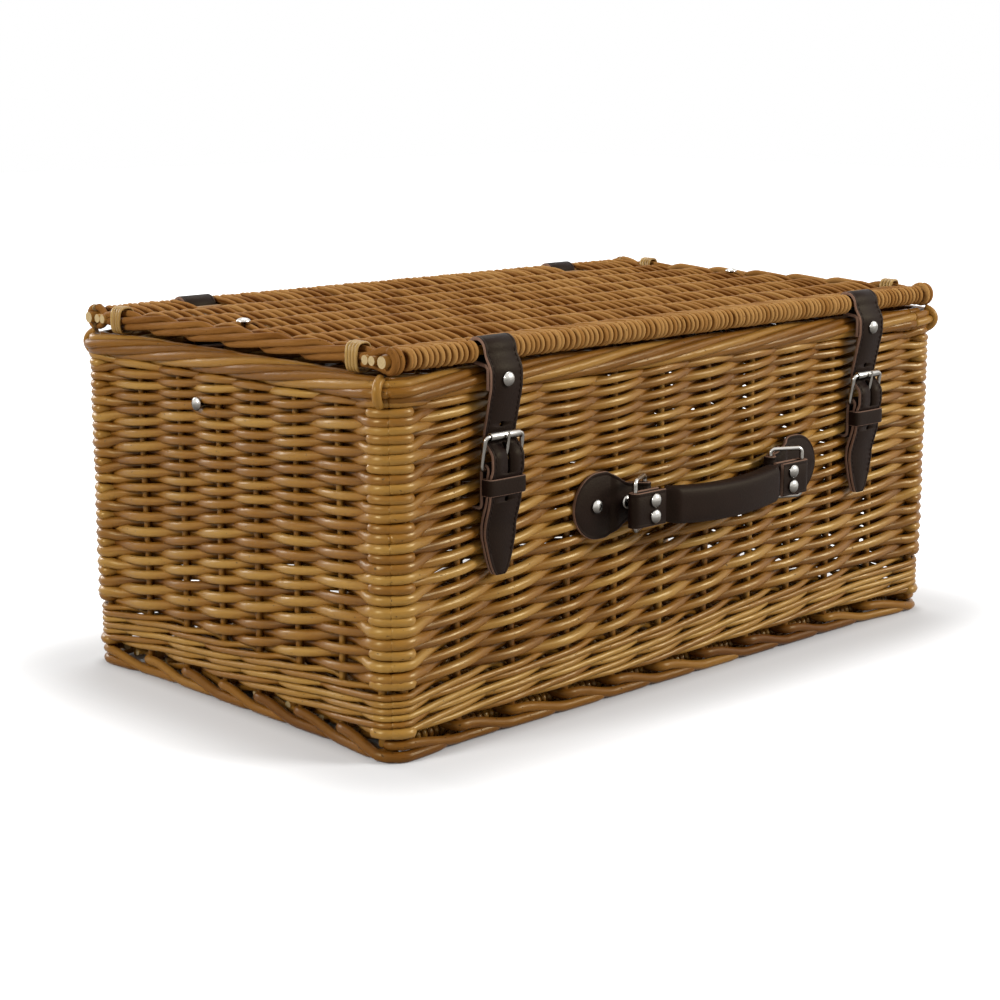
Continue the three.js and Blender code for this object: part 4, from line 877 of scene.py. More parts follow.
# %% Base
BASE_Z = 6.4
BASE_PITCH, BASE_ROD, BASE_SWING = 5.0, 2.5, 2.7
BASE_STICKS, BASE_STICK, BASE_STICK_PAST = 7, 2.6, 2
BASE_INSET_X, BASE_INSET_Y = 1, 1.5
BASE_WRAP, BASE_WRAP_STEPS, BASE_STEPS = (150, 10), 7, 50
BASE_TONES = (0.1, 0.7)

base_half, base_edge = box_mm("base_panel")[1][:2] - BASE_ROD - (BASE_INSET_X, BASE_INSET_Y)
xs = np.arange(-base_half, base_half, BASE_PITCH)
base_sticks = np.linspace(-base_edge, base_edge, BASE_STICKS + 2)
levels = over_and_under(len(xs), BASE_STICKS, BASE_SWING, BASE_SWING)
y = np.linspace(-base_edge, base_edge, BASE_STEPS)
around = np.radians(np.linspace(*BASE_WRAP, BASE_WRAP_STEPS))
wrap_y = base_edge + BASE_ROD * np.sin(around)
wrap_z = BASE_Z + BASE_SWING * np.cos(around)
base_lines = panel_paths(xs, y, BASE_Z + level_between(y, base_sticks, levels), (-wrap_y, wrap_z),
                         (wrap_y[::-1], wrap_z[::-1]))
base_meshes = [
    rod_mesh("base_rods", base_lines, BASE_ROD, BASE_TONES, sides=6, up=ALONG_LENGTH),
    stick_mesh("base_sticks", base_sticks, BASE_Z, base_half + BASE_STICK_PAST, BASE_STICK),
]
add_piece("base_weave", base_meshes, woven, ["base_panel"])

# %% [markdown]
# All the leather is one dark brown hide, glazed on its face, with pale brown fibres where the knife cut
# it. A value painted on the edges of each strip tells the finish where the cut is. Pores and grain give
# the bump.

# %% Leather, thread and nickel
PORES, GRAIN, PATCHES, FIBRES, TWIST = 1100, 800, 60, 2200, 1500
CLOUDS, SCRATCHES, SCRATCH_PULL = 260, 900, (1, 1, 0.12)
HIDE_DARK, HIDE_PALE = (0.0080, 0.0038, 0.0031, 1), (0.0150, 0.0076, 0.0062, 1)
RUBBED = (0.055, 0.032, 0.028, 1)
FLESH_DARK, FLESH_PALE = (0.13, 0.072, 0.048, 1), (0.35, 0.212, 0.15, 1)
THREAD_DARK, THREAD_PALE = (0.008, 0.005, 0.0045, 1), (0.026, 0.017, 0.015, 1)
# painted reflection of the nickel: dark where a point faces down, bright where it faces up
PAINTED_REFLECTION = [(0.12, (0.07, 0.062, 0.055)), (0.48, (0.27, 0.25, 0.22)), (0.66, (0.66, 0.63, 0.58))]
HIDE_DEPTH, FLESH_DEPTH, THREAD_DEPTH, NICKEL_DEPTH = 0.00022, 0.0002, 0.0001, 0.00004
HIDE_SHINE, THREAD_SHINE = 0.09, 0.08


def fibres(wire, spot):
    """Noise of loose fibres, and the pale brown that it mixes."""
    fibre = wire.noise(spot, FIBRES, detail=2)
    return fibre, wire.blend(fibre, FLESH_DARK, FLESH_PALE)


def leather_formula(wire):
    """Dark hide with pores and faint patches, rubbed beside its edges; fibres where the raw mark is high."""
    spot = wire.spot()
    raw = wire.mark("raw")
    pores = wire.node("ShaderNodeTexVoronoi", {}, {"Vector": spot, "Scale": PORES})
    grain = wire.noise(spot, GRAIN, detail=5)
    patch = wire.noise(spot, PATCHES, detail=3)
    fibre, flesh = fibres(wire, spot)
    cut_edge = wire.step(raw, 0.45, 0.65)
    rubbed = wire.step(raw, 0.02, 0.5) * (1 - cut_edge)
    worn = wire.blend(0.5 * rubbed, wire.blend(patch, HIDE_DARK, HIDE_PALE), RUBBED)
    rough = 0.34 + 0.22 * grain + 0.12 * patch + 0.4 * cut_edge
    height = 0.5 * grain + 0.35 * pores + 0.5 * cut_edge * fibre
    sockets = {"Base Color": wire.blend(cut_edge, worn, flesh), "Roughness": rough,
               "Specular IOR Level": HIDE_SHINE, "Specular Tint": WARM_SHEEN}
    return sockets, height, HIDE_DEPTH


def raw_formula(wire):
    """The cut end of a strip: fibres."""
    fibre, flesh = fibres(wire, wire.spot())
    return {"Base Color": flesh, "Roughness": 0.7 + 0.2 * fibre}, fibre, FLESH_DEPTH


def thread_formula(wire):
    """Dark waxed thread."""
    twist = wire.noise(wire.spot(), TWIST, detail=2)
    sockets = {"Base Color": wire.blend(twist, THREAD_DARK, THREAD_PALE), "Roughness": 0.6 + 0.2 * twist,
               "Specular IOR Level": THREAD_SHINE, "Specular Tint": WARM_SHEEN}
    return sockets, twist, THREAD_DEPTH


def nickel_formula(wire):
    """Bright plated steel, a little clouded and scratched, with painted reflection: darker where it faces
    down, brighter where it faces up.
    """
    spot = wire.spot()
    cloud = wire.noise(spot, CLOUDS, detail=4)
    scratch = wire.noise(spot, SCRATCHES, SCRATCH_PULL, 2)
    tint = wire.ramp(wire.mark("shade") + 0.25 * (cloud - 0.5), PAINTED_REFLECTION)
    rough = 0.10 + 0.16 * cloud + 0.08 * scratch
    return {"Base Color": tint, "Metallic": 1.0, "Roughness": rough}, cloud, NICKEL_DEPTH


leather = finish("leather", leather_formula)
raw_leather = finish("raw_leather", raw_formula)
thread = finish("thread", thread_formula)
nickel = finish("nickel", nickel_formula)
hides = [leather, raw_leather]
print("finishes:", [m.name for m in (leather, raw_leather, thread, nickel)])

# %% [markdown]
# A strap is a section carried along a path in one plane, like an extrusion that bends. The section is a
# flat oblong with rubbed corners and a shallow stitching groove near each edge. Where the strap goes is
# given by a few levels, with an ease between them, and by arcs round the wires.

# %% Paths of leather
EDGE_INSETS = np.array([1.2, 0.4, 0.0, 0.0, 0.14, 0.6, 1.75, 2.15, 2.55])
EDGE_LEVELS = np.array([-0.5, -0.43, -0.24, 0.24, 0.41, 0.5, 0.5, 0.41, 0.5])
EDGE_RAW = np.array([0.0, 0.6, 1.0, 1.0, 0.7, 0.0, 0.0, 0.0, 0.0])
MOST_INSET = 0.9
STITCH_INSET, GROOVE = 2.15, 0.41
STITCH_LENGTH, STITCH_PITCH, STITCH_PROUD, STITCH_BOW = 2.6, 3.5, 0.14, 0.2
STITCH_RADII = 0.33 * np.array([0.4, 0.9, 1.0, 0.9, 0.4])
RAW_EDGE, SECTION_POWER, SECTION_STEPS = (0.9, 0.99), 0.3, 16
HIDE, NO_STEP = 2.5, 1e-6
ON_WALL, ON_STRIP = 1.55, 4.35  # how far out the middle of a strip lies on the wall, and on another strip
BEND, FOLD = 2.25, 3.05  # radii of its middle line at a corner and round a wire


def arc(middle_a, middle_b, radius, start, end, steps=20):
    """Points of an arc in a strap's plane, angles in degrees."""
    angle = np.radians(np.linspace(start, end, steps + 1))
    return points(middle_a + radius * np.cos(angle), middle_b + radius * np.sin(angle))


def eased(levels, steps=14):
    """From level to level, the first coordinate by a smooth step and the second evenly."""
    levels = np.asarray(levels, float)
    share = np.linspace(0, 1, steps + 1)[1:]
    spans = levels[:-1, None] + np.diff(levels, axis=0)[:, None] * points(smooth(0, 1, share), share)
    return np.concatenate([levels[:1], spans.reshape(-1, 2)])


def even_path(parts, spacing=1.5):
    """Joined parts of a path, stepped evenly and softened once."""
    rough = np.concatenate([np.atleast_2d(np.asarray(part, float)) for part in parts])
    run = run_along(rough)
    keep = np.concatenate([[True], np.diff(run) > NO_STEP])
    even = np.linspace(0, run[-1], round(run[-1] / spacing) + 1)
    path = points(*(np.interp(even, run[keep], rough[keep, i]) for i in range(2)))
    path[1:-1] = (path[:-2] + 2 * path[1:-1] + path[2:]) / 4
    return path


def normals(path):
    """The normal of a path: its direction turned a quarter to the left."""
    along = unit(np.gradient(path, axis=0))
    return points(-along[:, 1], along[:, 0])


# %% Strips of leather
def facing_up(grid, core=None):
    """From 0 to 1, how far each point of a grid lies above the middle of its ring, or above a core point."""
    spoke = grid - (grid.mean(axis=2, keepdims=True) if core is None else core)
    return 0.5 + 0.5 * unit(spoke)[..., 2]


def turned_out(grid, mark=None, rings=None):
    """A grid, and a mark round its rings, in the order that makes its quads face away from the rings'
    middles. The test may look at the first few rings only."""
    tested = grid[:, :rings]
    around = np.roll(tested, -1, axis=2)[:, :-1] - tested[:, :-1]
    along = tested[:, 1:] - tested[:, :-1]
    spoke = tested[:, :-1] - tested[:, :-1].mean(axis=2, keepdims=True)
    if (np.cross(around, along) * spoke).sum() > 0:
        return grid, mark
    return grid[:, :, ::-1], None if mark is None else mark[::-1]


def hide_mesh(name, grid, raw, loop=False):
    """A leather mesh, facing outwards, with the raw mark of its cut edges."""
    grid, raw = turned_out(grid[None], raw)
    return grid_mesh(name, grid, loop=loop, marks={"raw": np.broadcast_to(raw, grid.shape[:3])})


def add_strip(name, node, path, halves, place_at, face=1, body=None):
    """A leather strip as a piece: at each point of the path, w = +-(half - inset) across and level x
    thickness along the normal. place_at(a, b, w) puts the plane point (a, b) and width w in space."""
    normal = normals(path)
    halves = np.broadcast_to(halves, len(path))[:, None]
    inset = np.minimum(EDGE_INSETS, MOST_INSET * halves)
    middle = np.zeros((len(path), 1))
    w = np.concatenate([middle, inset - halves, middle, (halves - inset)[:, ::-1]], axis=1)
    level = np.concatenate([[-0.5], EDGE_LEVELS, [0.5], EDGE_LEVELS[::-1]]) * HIDE * face
    raw = np.concatenate([[0.0], EDGE_RAW, [0.0], EDGE_RAW[::-1]])
    a = path[:, :1] + normal[:, :1] * level
    b = path[:, 1:] + normal[:, 1:] * level
    return add_piece(name, hide_mesh(name, place_at(a, b, w), raw), hides, [node], body)


def stitch_mesh(name, path, halves, place_at, start, end):
    """Stitches in both grooves: short rods that rise a little in their middle."""
    run = run_along(path)
    normal = normals(path)
    share = np.linspace(0, 1, len(STITCH_RADII))
    at = np.arange(start, end, STITCH_PITCH)[:, None] + STITCH_LENGTH * share
    lift = GROOVE * HIDE + STITCH_PROUD + STITCH_BOW * np.sin(np.pi * share)
    a, b = (np.interp(at, run, path[:, i]) + np.interp(at, run, normal[:, i]) * lift for i in range(2))
    w = np.interp(at, run, halves) - STITCH_INSET
    rows = np.concatenate([place_at(a, b, w), place_at(a, b, -w)])
    return grid_mesh(name, rod_grid(rows, STITCH_RADII, sides=6, up=ALONG_LENGTH))


# %% Places and holes
def upright_at(x, side):
    """Places a strap on the front, side -1, or on the back: a is out of the wall's face, b the height."""
    return lambda out, z, w: points(x + w, side * (face_y + out), z)


def drilled(obj, tools):
    """Cuts tool meshes out of a piece and keeps the result."""
    for tool in tools:
        cutter = new_object("cutter", tool)
        change = obj.modifiers.new("hole", "BOOLEAN")
        change.object = cutter
        change.solver = "EXACT"
        with bpy.context.temp_override(object=obj, active_object=obj, selected_objects=[obj]):
            bpy.ops.object.modifier_apply(modifier=change.name)
        bpy.data.objects.remove(cutter)


# %% [markdown]
# A closing strap is riveted to itself round the lid's rail. It hangs down the front, goes under the
# buckle's roller, rises over the bar, and its point slips through the keeper. The holes are punched, so
# they are cut out.

# %% Closing straps
STRAP_HALF = 12.5
TIP_Z, TIP_LENGTH, TIP_HALF, TIP_POWER = 100, 24, 3.8, 0.62
SPARE_HOLES, HOLE_RADIUS = (190, 146.4), 1.7
SLOT_LOW, SLOT_HIGH, SLOT_HALF = 161.4, 179.5, 1.45
PUNCH_FROM, PUNCH_TO, PUNCH_STEPS = -1.0, 22.0, 20
SEAM_START, SEAM_END = 55, 14
LOOP, LOOP_STEPS = 7.1, 40

rail_out = rail_y - face_y
strap_path = even_path([
    [[7.15, 210.7]],  # the end under the rivet
    arc(4.9, 222.7, BEND, 0, 90),
    arc(rail_out, rail_z, LOOP, -90, -360, LOOP_STEPS),
    eased([(rail_out + LOOP, rail_z), (9.95, 221)]),
    [[9.95, 212.5], [4.3, 187.5]],  # down from the rivet to the wall
    eased([(4.02, 186.2), (4.02, 182.2), (11.35, 171.5), (11.35, 164), (9.25, 158.5), (9.25, 149.5),
           (ON_STRIP, 126.5), (ON_STRIP, TIP_Z)]),  # under the roller, over the bar, to the point
])


def tip_halves(z):
    """Half widths of a strap at heights: full, then narrowing to the point as a power of the distance."""
    share = np.clip((z - TIP_Z) / TIP_LENGTH, 0, 1) ** TIP_POWER
    return TIP_HALF + (STRAP_HALF - TIP_HALF) * share


def punch(x, z_low, z_high, radius):
    """A pin through the front leather with rounded ends, from a low to a high edge."""
    angle = full_turn(PUNCH_STEPS)
    rise = np.where(np.sin(angle) > 0, z_high - radius, z_low + radius)
    y = -face_y - np.array([PUNCH_FROM, PUNCH_TO])[:, None]
    ring = points(x + radius * np.cos(angle), y, rise + radius * np.sin(angle))[None]
    return grid_mesh("punch", turned_out(ring)[0])


strap_halves = tip_halves(strap_path[:, 1])
seam_end = run_along(strap_path)[-1] - SEAM_END
for name, side in SIDES:
    x = side * STRAP_X
    front = upright_at(x, -1)
    strap = add_strip(f"strap_leather_{name}", f"strap_{name}", strap_path, strap_halves, front)
    slot = punch(x, SLOT_LOW, SLOT_HIGH, SLOT_HALF)
    holes = [punch(x, z - HOLE_RADIUS, z + HOLE_RADIUS, HOLE_RADIUS) for z in SPARE_HOLES]
    drilled(strap, [slot, *holes])
    seam = stitch_mesh("strap_seam", strap_path, strap_halves, front, SEAM_START, seam_end)
    add_piece(f"strap_stitching_{name}", seam, [thread], body=home[f"strap_{name}"])

# %% [markdown]
# The buckle strap holds the buckle: it folds round the bar, with a slot for the prong, and goes into the
# weave at one end and down behind the closing strap at the other. A narrow band, the keeper, goes round
# both.

# %% Buckle straps and keepers
BAR_OUT, BAR_Z = 4.6, 164
BAR_SLOT_LOW, BAR_SLOT_HIGH, BAR_SLOT_HALF = BAR_Z - 4.5, BAR_Z + 8, 2.2
KEEPER_Z, KEEPER_HALF_HEIGHT = 154, 5.0
KEEPER_OUT, KEEPER_HALF_OUT, KEEPER_HALF = 7.85, 3.75, 14.3
KEEPER_HIDE, KEEPER_POWER, KEEPER_STEPS = 1.8, 0.32, 96

chape_path = even_path([
    eased([(ON_WALL, TIP_Z), (ON_WALL, 129), (6.45, 149.5), (6.45, 158.5), (7.65, BAR_Z)]),
    arc(BAR_OUT, BAR_Z, FOLD, 0, 180),
    [[ON_WALL, 145.25]],
    arc(-0.7, 143, BEND, 0, -90),
    [[-11, 140.75]],  # the end inside the weave
])
before_fold = np.arange(len(chape_path)) < chape_path[:, 1].argmax()
chape_halves = np.where(before_fold, tip_halves(chape_path[:, 1]), STRAP_HALF)


def keeper_mesh(x):
    """An upright oblong section carried round a flat oblong loop."""
    loop = points(*soft_oblong(full_turn(KEEPER_STEPS), KEEPER_HALF, KEEPER_HALF_OUT, KEEPER_POWER))
    along = unit(np.roll(loop, -1, axis=0) - np.roll(loop, 1, axis=0))
    normal = points(along[:, 1], -along[:, 0])
    section = full_turn(SECTION_STEPS, 0.5)
    through, rise = soft_oblong(section, KEEPER_HIDE / 2, KEEPER_HALF_HEIGHT, SECTION_POWER)
    flat = loop[:, None] + normal[:, None] * through[:, None]
    grid = points(x + flat[..., 0], -face_y - KEEPER_OUT - flat[..., 1], KEEPER_Z + rise)
    return hide_mesh("keeper", grid, smooth(*RAW_EDGE, np.abs(rise) / KEEPER_HALF_HEIGHT), loop=True)


for name, side in SIDES:
    x = side * STRAP_X
    chape = add_strip(f"buckle_strap_leather_{name}", f"buckle_strap_{name}", chape_path, chape_halves,
                      upright_at(x, -1), face=-1)
    drilled(chape, [punch(x, BAR_SLOT_LOW, BAR_SLOT_HIGH, BAR_SLOT_HALF)])
    add_piece(f"keeper_leather_{name}", keeper_mesh(x), [leather], [f"keeper_{name}"])

# %% [markdown]
# The buckles are bent from round wire and plated: an oblong frame, a tube that rolls on its upper side,
# and a prong looped on the bar. Wire is a circle carried along a path again, and the tube is a section
# turned round.

# %% Buckles
TILT = np.radians(10)
WIRE, WIRE_BEND = 1.5, 3
FRAME_HALF, FRAME_LENGTH = 15, 20
ROLLER_INNER, ROLLER_OUTER, ROLLER_HALF = 1.8, 2.5, 11.7
ROLLER_X = ROLLER_HALF * np.array([-1, -0.96, 0.96, 1, 1, 0.98, -0.98, -1])
ROLLER_R = np.repeat([ROLLER_OUTER, ROLLER_INNER], 4) + np.array([-0.2, 0, 0, -0.2, 0.1, 0, 0, 0.1])
ROLLER_STEPS, WIRE_SIDES = 28, 14
PRONG, PRONG_LOOP, PRONG_SPACING = 1.2, 3.0, 0.9
PRONG_THIN, PRONG_THIN_FROM = 0.35, 0.75


def buckle_at(x, across, along, proud):
    """A point of a buckle's own plane in space: along from the bar, proud of the plane, across the strap."""
    out = BAR_OUT + along * np.sin(TILT) + proud * np.cos(TILT)
    z = BAR_Z + along * np.cos(TILT) - proud * np.sin(TILT)
    return points(x + across, -face_y - out, z)


def rounded_oblong(half_a, half_b, radius, steps=10, sides=8):
    """A closed oblong with round corners: quarter circles joined by straight sides."""
    angle = np.radians(np.arange(4)[:, None] * 90 + np.linspace(0, 90, steps + 1))
    centre = np.array([(1, 1), (-1, 1), (-1, -1), (1, -1)]) * (half_a - radius, half_b - radius)
    turned = centre[:, None] + radius * points(np.cos(angle), np.sin(angle))
    following = np.roll(turned[:, 0], -1, axis=0)
    share = (np.arange(1, sides) / sides)[:, None]
    straight = turned[:, -1][:, None] + (following - turned[:, -1])[:, None] * share
    return np.concatenate([turned, straight], axis=1).reshape(-1, 2)


def add_metal(name, node, grid, loop):
    """A plated piece, with a shade mark for its painted reflection: brighter on what faces up."""
    mesh = grid_mesh(name, grid, loop=loop, shade=facing_up(grid))
    add_piece(name, mesh, [nickel] if loop else [nickel, nickel], [node])


frame_line = rounded_oblong(FRAME_HALF, FRAME_LENGTH / 2, WIRE_BEND)
frame_up = buckle_at(0, 0, 0, 1.0) - buckle_at(0, 0, 0, 0.0)
tube_along = ROLLER_R[:, None] * np.cos(full_turn(ROLLER_STEPS))
tube_proud = ROLLER_R[:, None] * np.sin(full_turn(ROLLER_STEPS))
prong_line = even_path([arc(0, 0, PRONG_LOOP, 80, 360, LOOP_STEPS), [[3.5, 10], [4.0, 20], [3.9, 23]]],
                       PRONG_SPACING)
prong_taper = 1 - PRONG_THIN * smooth(PRONG_THIN_FROM, 1, np.linspace(0, 1, len(prong_line)))
for name, side in SIDES:
    x = side * STRAP_X
    wire_line = buckle_at(x, frame_line[:, 0], frame_line[:, 1] + FRAME_LENGTH / 2, 0)[None]
    wire_grid = rod_grid(wire_line, WIRE, sides=WIRE_SIDES, up=frame_up, loop=True)
    add_metal(f"buckle_wire_{name}", f"buckle_frame_{name}", wire_grid, True)
    tube = buckle_at(x, ROLLER_X[:, None], FRAME_LENGTH + tube_along, tube_proud)[None]
    add_metal(f"buckle_tube_{name}", f"buckle_roller_{name}", turned_out(tube, rings=4)[0], True)
    pin_line = buckle_at(x, 0, prong_line[:, 1], prong_line[:, 0])[None]
    pin_grid = rod_grid(pin_line, PRONG * prong_taper, sides=12, up=ALONG_LENGTH)
    add_metal(f"buckle_pin_{name}", f"buckle_prong_{name}", pin_grid, False)

# %% [markdown]
# The handle hangs on two wire rings. Each ring is held to the wall by a paddle of leather, wide and
# round at one end, whose narrow end folds back round the wire. The grip is a flat stuffed sleeve between
# two riveted loops.

# %% Handle
HANDLE_X, HANDLE_Z, LOOP_Z = 8, 128, 125.5
TAB_END, TAB_ROUND, TAB_POLE, TAB_SPACING = 118, 21, 0.9998, 1.2
ROUND_FROM, ROUND_STEPS = 89, 24
TAB_NECK, TAB_BODY, TAB_WIDENS = 23, 42, (70.5, 92)
RING_X, RING_OUT = 71.95, 13.75
RING_HALF, RING_RISE = 11.29, 16
RING_TURN = np.arctan2(10.5, 20)
LOOP_HALF, LOOP_FROM, LOOP_TO, LOOP_OUT = 11, 57.95, 81.95, 19
GRIP_END, GRIP_STEPS, TONGUE_END, TONGUE_STEPS = 56.95, 81, 79.45, 5
GRIP_EASE, GRIP_OUT, GRIP_BOW, GRIP_SAG, GRIP_ROUND = 9, 19, 6, 3, 40
GRIP_THIN, GRIP_SWELL, GRIP_HALF, GRIP_WIDEN, GRIP_POWER = 1.5, 5.5, 10.5, 1.5, 0.5

round_end = np.radians(np.linspace(ROUND_FROM, 0, ROUND_STEPS))
tab_flat = points(TAB_END - TAB_ROUND * (1 - np.sin(round_end)), ON_WALL)
tab_rest = even_path([[[96.5, ON_WALL], [86.8, ON_WALL]], [[82.7, ON_STRIP], [69.5, ON_STRIP]],
                      arc(61.95, 8.5, FOLD, 60, 300), [[68.5, ON_WALL], [79.5, ON_WALL]]], TAB_SPACING)
tab_path = np.concatenate([tab_flat, tab_rest])
tab_body = TAB_NECK + (TAB_BODY - TAB_NECK) * smooth(*TAB_WIDENS, tab_path[:, 0])
tab_past = np.clip((tab_path[:, 0] - TAB_END) / TAB_ROUND + 1, 0, TAB_POLE)
tab_halves = tab_body / 2 * np.sqrt(1 - tab_past ** 2)
loop_path = even_path([[[LOOP_FROM, LOOP_OUT + FOLD]], arc(LOOP_TO, LOOP_OUT, FOLD, 90, -90),
                       [[LOOP_FROM, LOOP_OUT - FOLD]]], TAB_SPACING)
ring_line = rounded_oblong(RING_HALF, RING_RISE, WIRE_BEND)


def handle_at(side, z):
    """Places leather of the handle: a is from the handle's middle, b out of the wall, w the height."""
    return lambda x, out, w: points(HANDLE_X + side * x, -face_y - out, z + w)


for name, side in SIDES:
    tab = add_strip(f"handle_paddle_{name}", f"handle_tab_{name}", tab_path, tab_halves,
                    handle_at(side, HANDLE_Z), face=-1, body="blend")
    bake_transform(tab)
    turn = -side * RING_TURN
    ring_x = HANDLE_X + side * RING_X + ring_line[:, 0] * np.cos(turn)
    ring_y = -face_y - RING_OUT + ring_line[:, 0] * np.sin(turn)
    wire_line = points(ring_x, ring_y, HANDLE_Z + ring_line[:, 1])[None]
    ring_grid = rod_grid(wire_line, WIRE, sides=WIRE_SIDES, up=(-np.sin(turn), np.cos(turn), 0), loop=True)
    add_metal(f"handle_wire_ring_{name}", f"handle_ring_{name}", ring_grid, True)
    add_strip(f"handle_loop_leather_{name}", f"handle_end_loop_{name}", loop_path, LOOP_HALF,
              handle_at(side, LOOP_Z))

tongue = np.linspace(GRIP_END, TONGUE_END, TONGUE_STEPS)[1:]
grip_x = np.concatenate([-tongue[::-1], np.linspace(-GRIP_END, GRIP_END, GRIP_STEPS), tongue])[:, None]
swell = smooth(0, GRIP_EASE, GRIP_END - np.abs(grip_x))
bow = np.maximum(0, 1 - (grip_x / GRIP_END) ** 2)
half_depth, half_rise = GRIP_THIN + GRIP_SWELL * swell, GRIP_HALF + GRIP_WIDEN * swell
depth, rise = soft_oblong(full_turn(GRIP_ROUND, 0.5), half_depth, half_rise, GRIP_POWER)
grip = points(HANDLE_X + grip_x, -face_y - GRIP_OUT - GRIP_BOW * bow - depth, LOOP_Z - GRIP_SAG * bow + rise)
grip_mesh = grid_mesh("grip", turned_out(grip[None])[0])
add_piece("handle_sleeve", grip_mesh, hides, ["handle_grip"])

# %% [markdown]
# At the back the lid turns on two leather hinges: a strap rises from its rivet on the wall, goes over
# the lid's back rail, comes down inside and returns through the weave to the same rivet.

# %% Hinges
HINGE_FOOT = 185
HINGE_INSIDE, HINGE_LOW = -18.55, 208.4

hinge_path = even_path([
    [[ON_STRIP, HINGE_FOOT], [ON_STRIP, 197.5]],
    eased([(ON_STRIP, 197.8), (5.55, 208.7), (5.55, 223), (rail_out + LOOP, rail_z)]),
    arc(rail_out, rail_z, LOOP, 0, 180, LOOP_STEPS),
    [[HINGE_INSIDE, 223], [HINGE_INSIDE, HINGE_LOW]],
    arc(-16.3, HINGE_LOW, BEND, 180, 270),
    arc(-0.7, 203.9, BEND, 90, 0),
    [[ON_WALL, HINGE_FOOT]],
])
for name, side in SIDES:
    add_strip(f"hinge_leather_{name}", f"hinge_strap_{name}", hinge_path, STRAP_HALF,
              upright_at(side * STRAP_X, 1), face=-1)

# %% [markdown]
# Two narrow straps inside stop the lid when it stands open. Each is riveted flat to an end wall and
# twists until it lies flat under the lid. The path is found so that the strap comes out straight when
# the lid is up: a point keeps its distance from the hinge line and turns with the lid by a smooth share
# of its height.

# %% Lid stays
TWIST_SHARE, TWIST_STEPS, STAY_STEPS, HALVINGS = 0.055, 12, 44, 40
STAY_FREE = 198
STAY_WALL, STAY_LID = np.array([32.0, 189.0]), np.array([19.5, 225.9])
STAY_WALL_X, STAY_LID_X = 241.9, 232
STAY_HALF, STAY_THIN = 6, 0.8
STAY_TAIL, STAY_END_Y = 6, 9.0
OPEN = np.radians(100)


def polar(spots):
    """Distance from the hinge line, and angle below the closed lid."""
    away = spots - (rail_y, rail_z)
    return np.hypot(away[..., 0], away[..., 1]), np.arctan2(away[..., 1], -away[..., 0])


def about_hinge(radius, angle):
    """The point at a distance and an angle from the hinge line."""
    return points(rail_y - radius * np.cos(angle), rail_z + radius * np.sin(angle))


twisting = np.linspace(0, TWIST_SHARE, TWIST_STEPS + 1)[:-1]
share = np.concatenate([twisting, np.linspace(TWIST_SHARE, 1, STAY_STEPS + 1)])
lid_radius, lid_angle = polar(STAY_LID)
opened = about_hinge(lid_radius, lid_angle + OPEN)
radius, target = polar(STAY_WALL + (opened - STAY_WALL) * share[:, None])
low, high = np.full(len(share), -np.pi / 2), np.zeros(len(share))
for _ in range(HALVINGS):
    angle = (low + high) / 2
    turned = angle + OPEN * smooth(STAY_FREE, STAY_LID[1], about_hinge(radius, angle)[:, 1])
    low = np.where(turned < target, angle, low)
    high = np.where(turned < target, high, angle)
stay_line = about_hinge(radius, (low + high) / 2)
wall_end = stay_line[0] + STAY_TAIL * unit(stay_line[0] - stay_line[1])
stay_line = np.concatenate([[wall_end], stay_line, [[STAY_END_Y, stay_line[-1, 1]]]])
along = unit(np.gradient(stay_line, axis=0))
turn = smooth(0, TWIST_SHARE, np.concatenate([[0], share, [1]]))
twist = ((1 - turn) * np.pi / 2)[:, None]
upright = points(0, -along[:, 1], along[:, 0])
across = np.cos(twist) * ALONG_LENGTH + np.sin(twist) * upright
through = -np.sin(twist) * ALONG_LENGTH + np.cos(twist) * upright
middle = points(STAY_WALL_X + (STAY_LID_X - STAY_WALL_X) * turn, stay_line[:, 0], stay_line[:, 1])
wide, thick = soft_oblong(full_turn(SECTION_STEPS, 0.5), STAY_HALF, STAY_THIN, SECTION_POWER)
stay = middle[:, None] + across[:, None] * wide[:, None] + through[:, None] * thick[:, None]
for name, side in SIDES:
    stay_mesh = hide_mesh("stay", stay * (side, 1, 1), smooth(*RAW_EDGE, np.abs(wide) / STAY_HALF))
    strap = add_piece(f"stay_leather_{name}", stay_mesh, hides, [f"lid_stay_{name}"], "blend")
    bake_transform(strap)

# %% [markdown]
# Every rivet is the same: a domed head, a shank and a burred tail, turned from one profile like a lathe
# part.

# %% Rivets
HEAD_RADIUS, DOME, RIM = 4.5, 2.6, 0.3
CLEARANCE, SHADE_CORE = 0.3, 2.0
DOME_END, DOME_STEPS, RIVET_STEPS = 88, 10, 24
TAIL_PROFILE = np.array([(0.05, -1), (3.2, -1), (3.5, -0.7), (3.5, -0.05), (1.6, 0)])
HEAD_PROFILE = np.array([(1.6, 0), (4.2, 0), (HEAD_RADIUS, RIM)])
FRONT, BACK, UP = (0, -1, 0), (0, 1, 0), (0, 0, 1)
STRAP_SEAT, HINGE_SEAT, GRIP_SEAT = 11.2, 5.6, 23.3
STRAP_RIVET_Z, HINGE_RIVET_Z, GRIP_RIVET_X = 216.7, 193, 67.95
STAY_RIVET_Y, STAY_RIVET_RISE, STAY_HIDE = 15, 6, 1.9
STRAP_GRIP, STAY_LID_GRIP, LOOP_GRIP = 5.3, 13.9, 8.6
TAB_RIVETS = (("outer", 99, 2.8), ("inner", 75, 5.6))
GRIP_RIVETS = (("upper", 5), ("lower", -5))

dome = np.radians(np.linspace(0, DOME_END, DOME_STEPS))
dome_profile = points(HEAD_RADIUS * np.cos(dome), RIM + (DOME - RIM) * np.sin(dome))[1:]


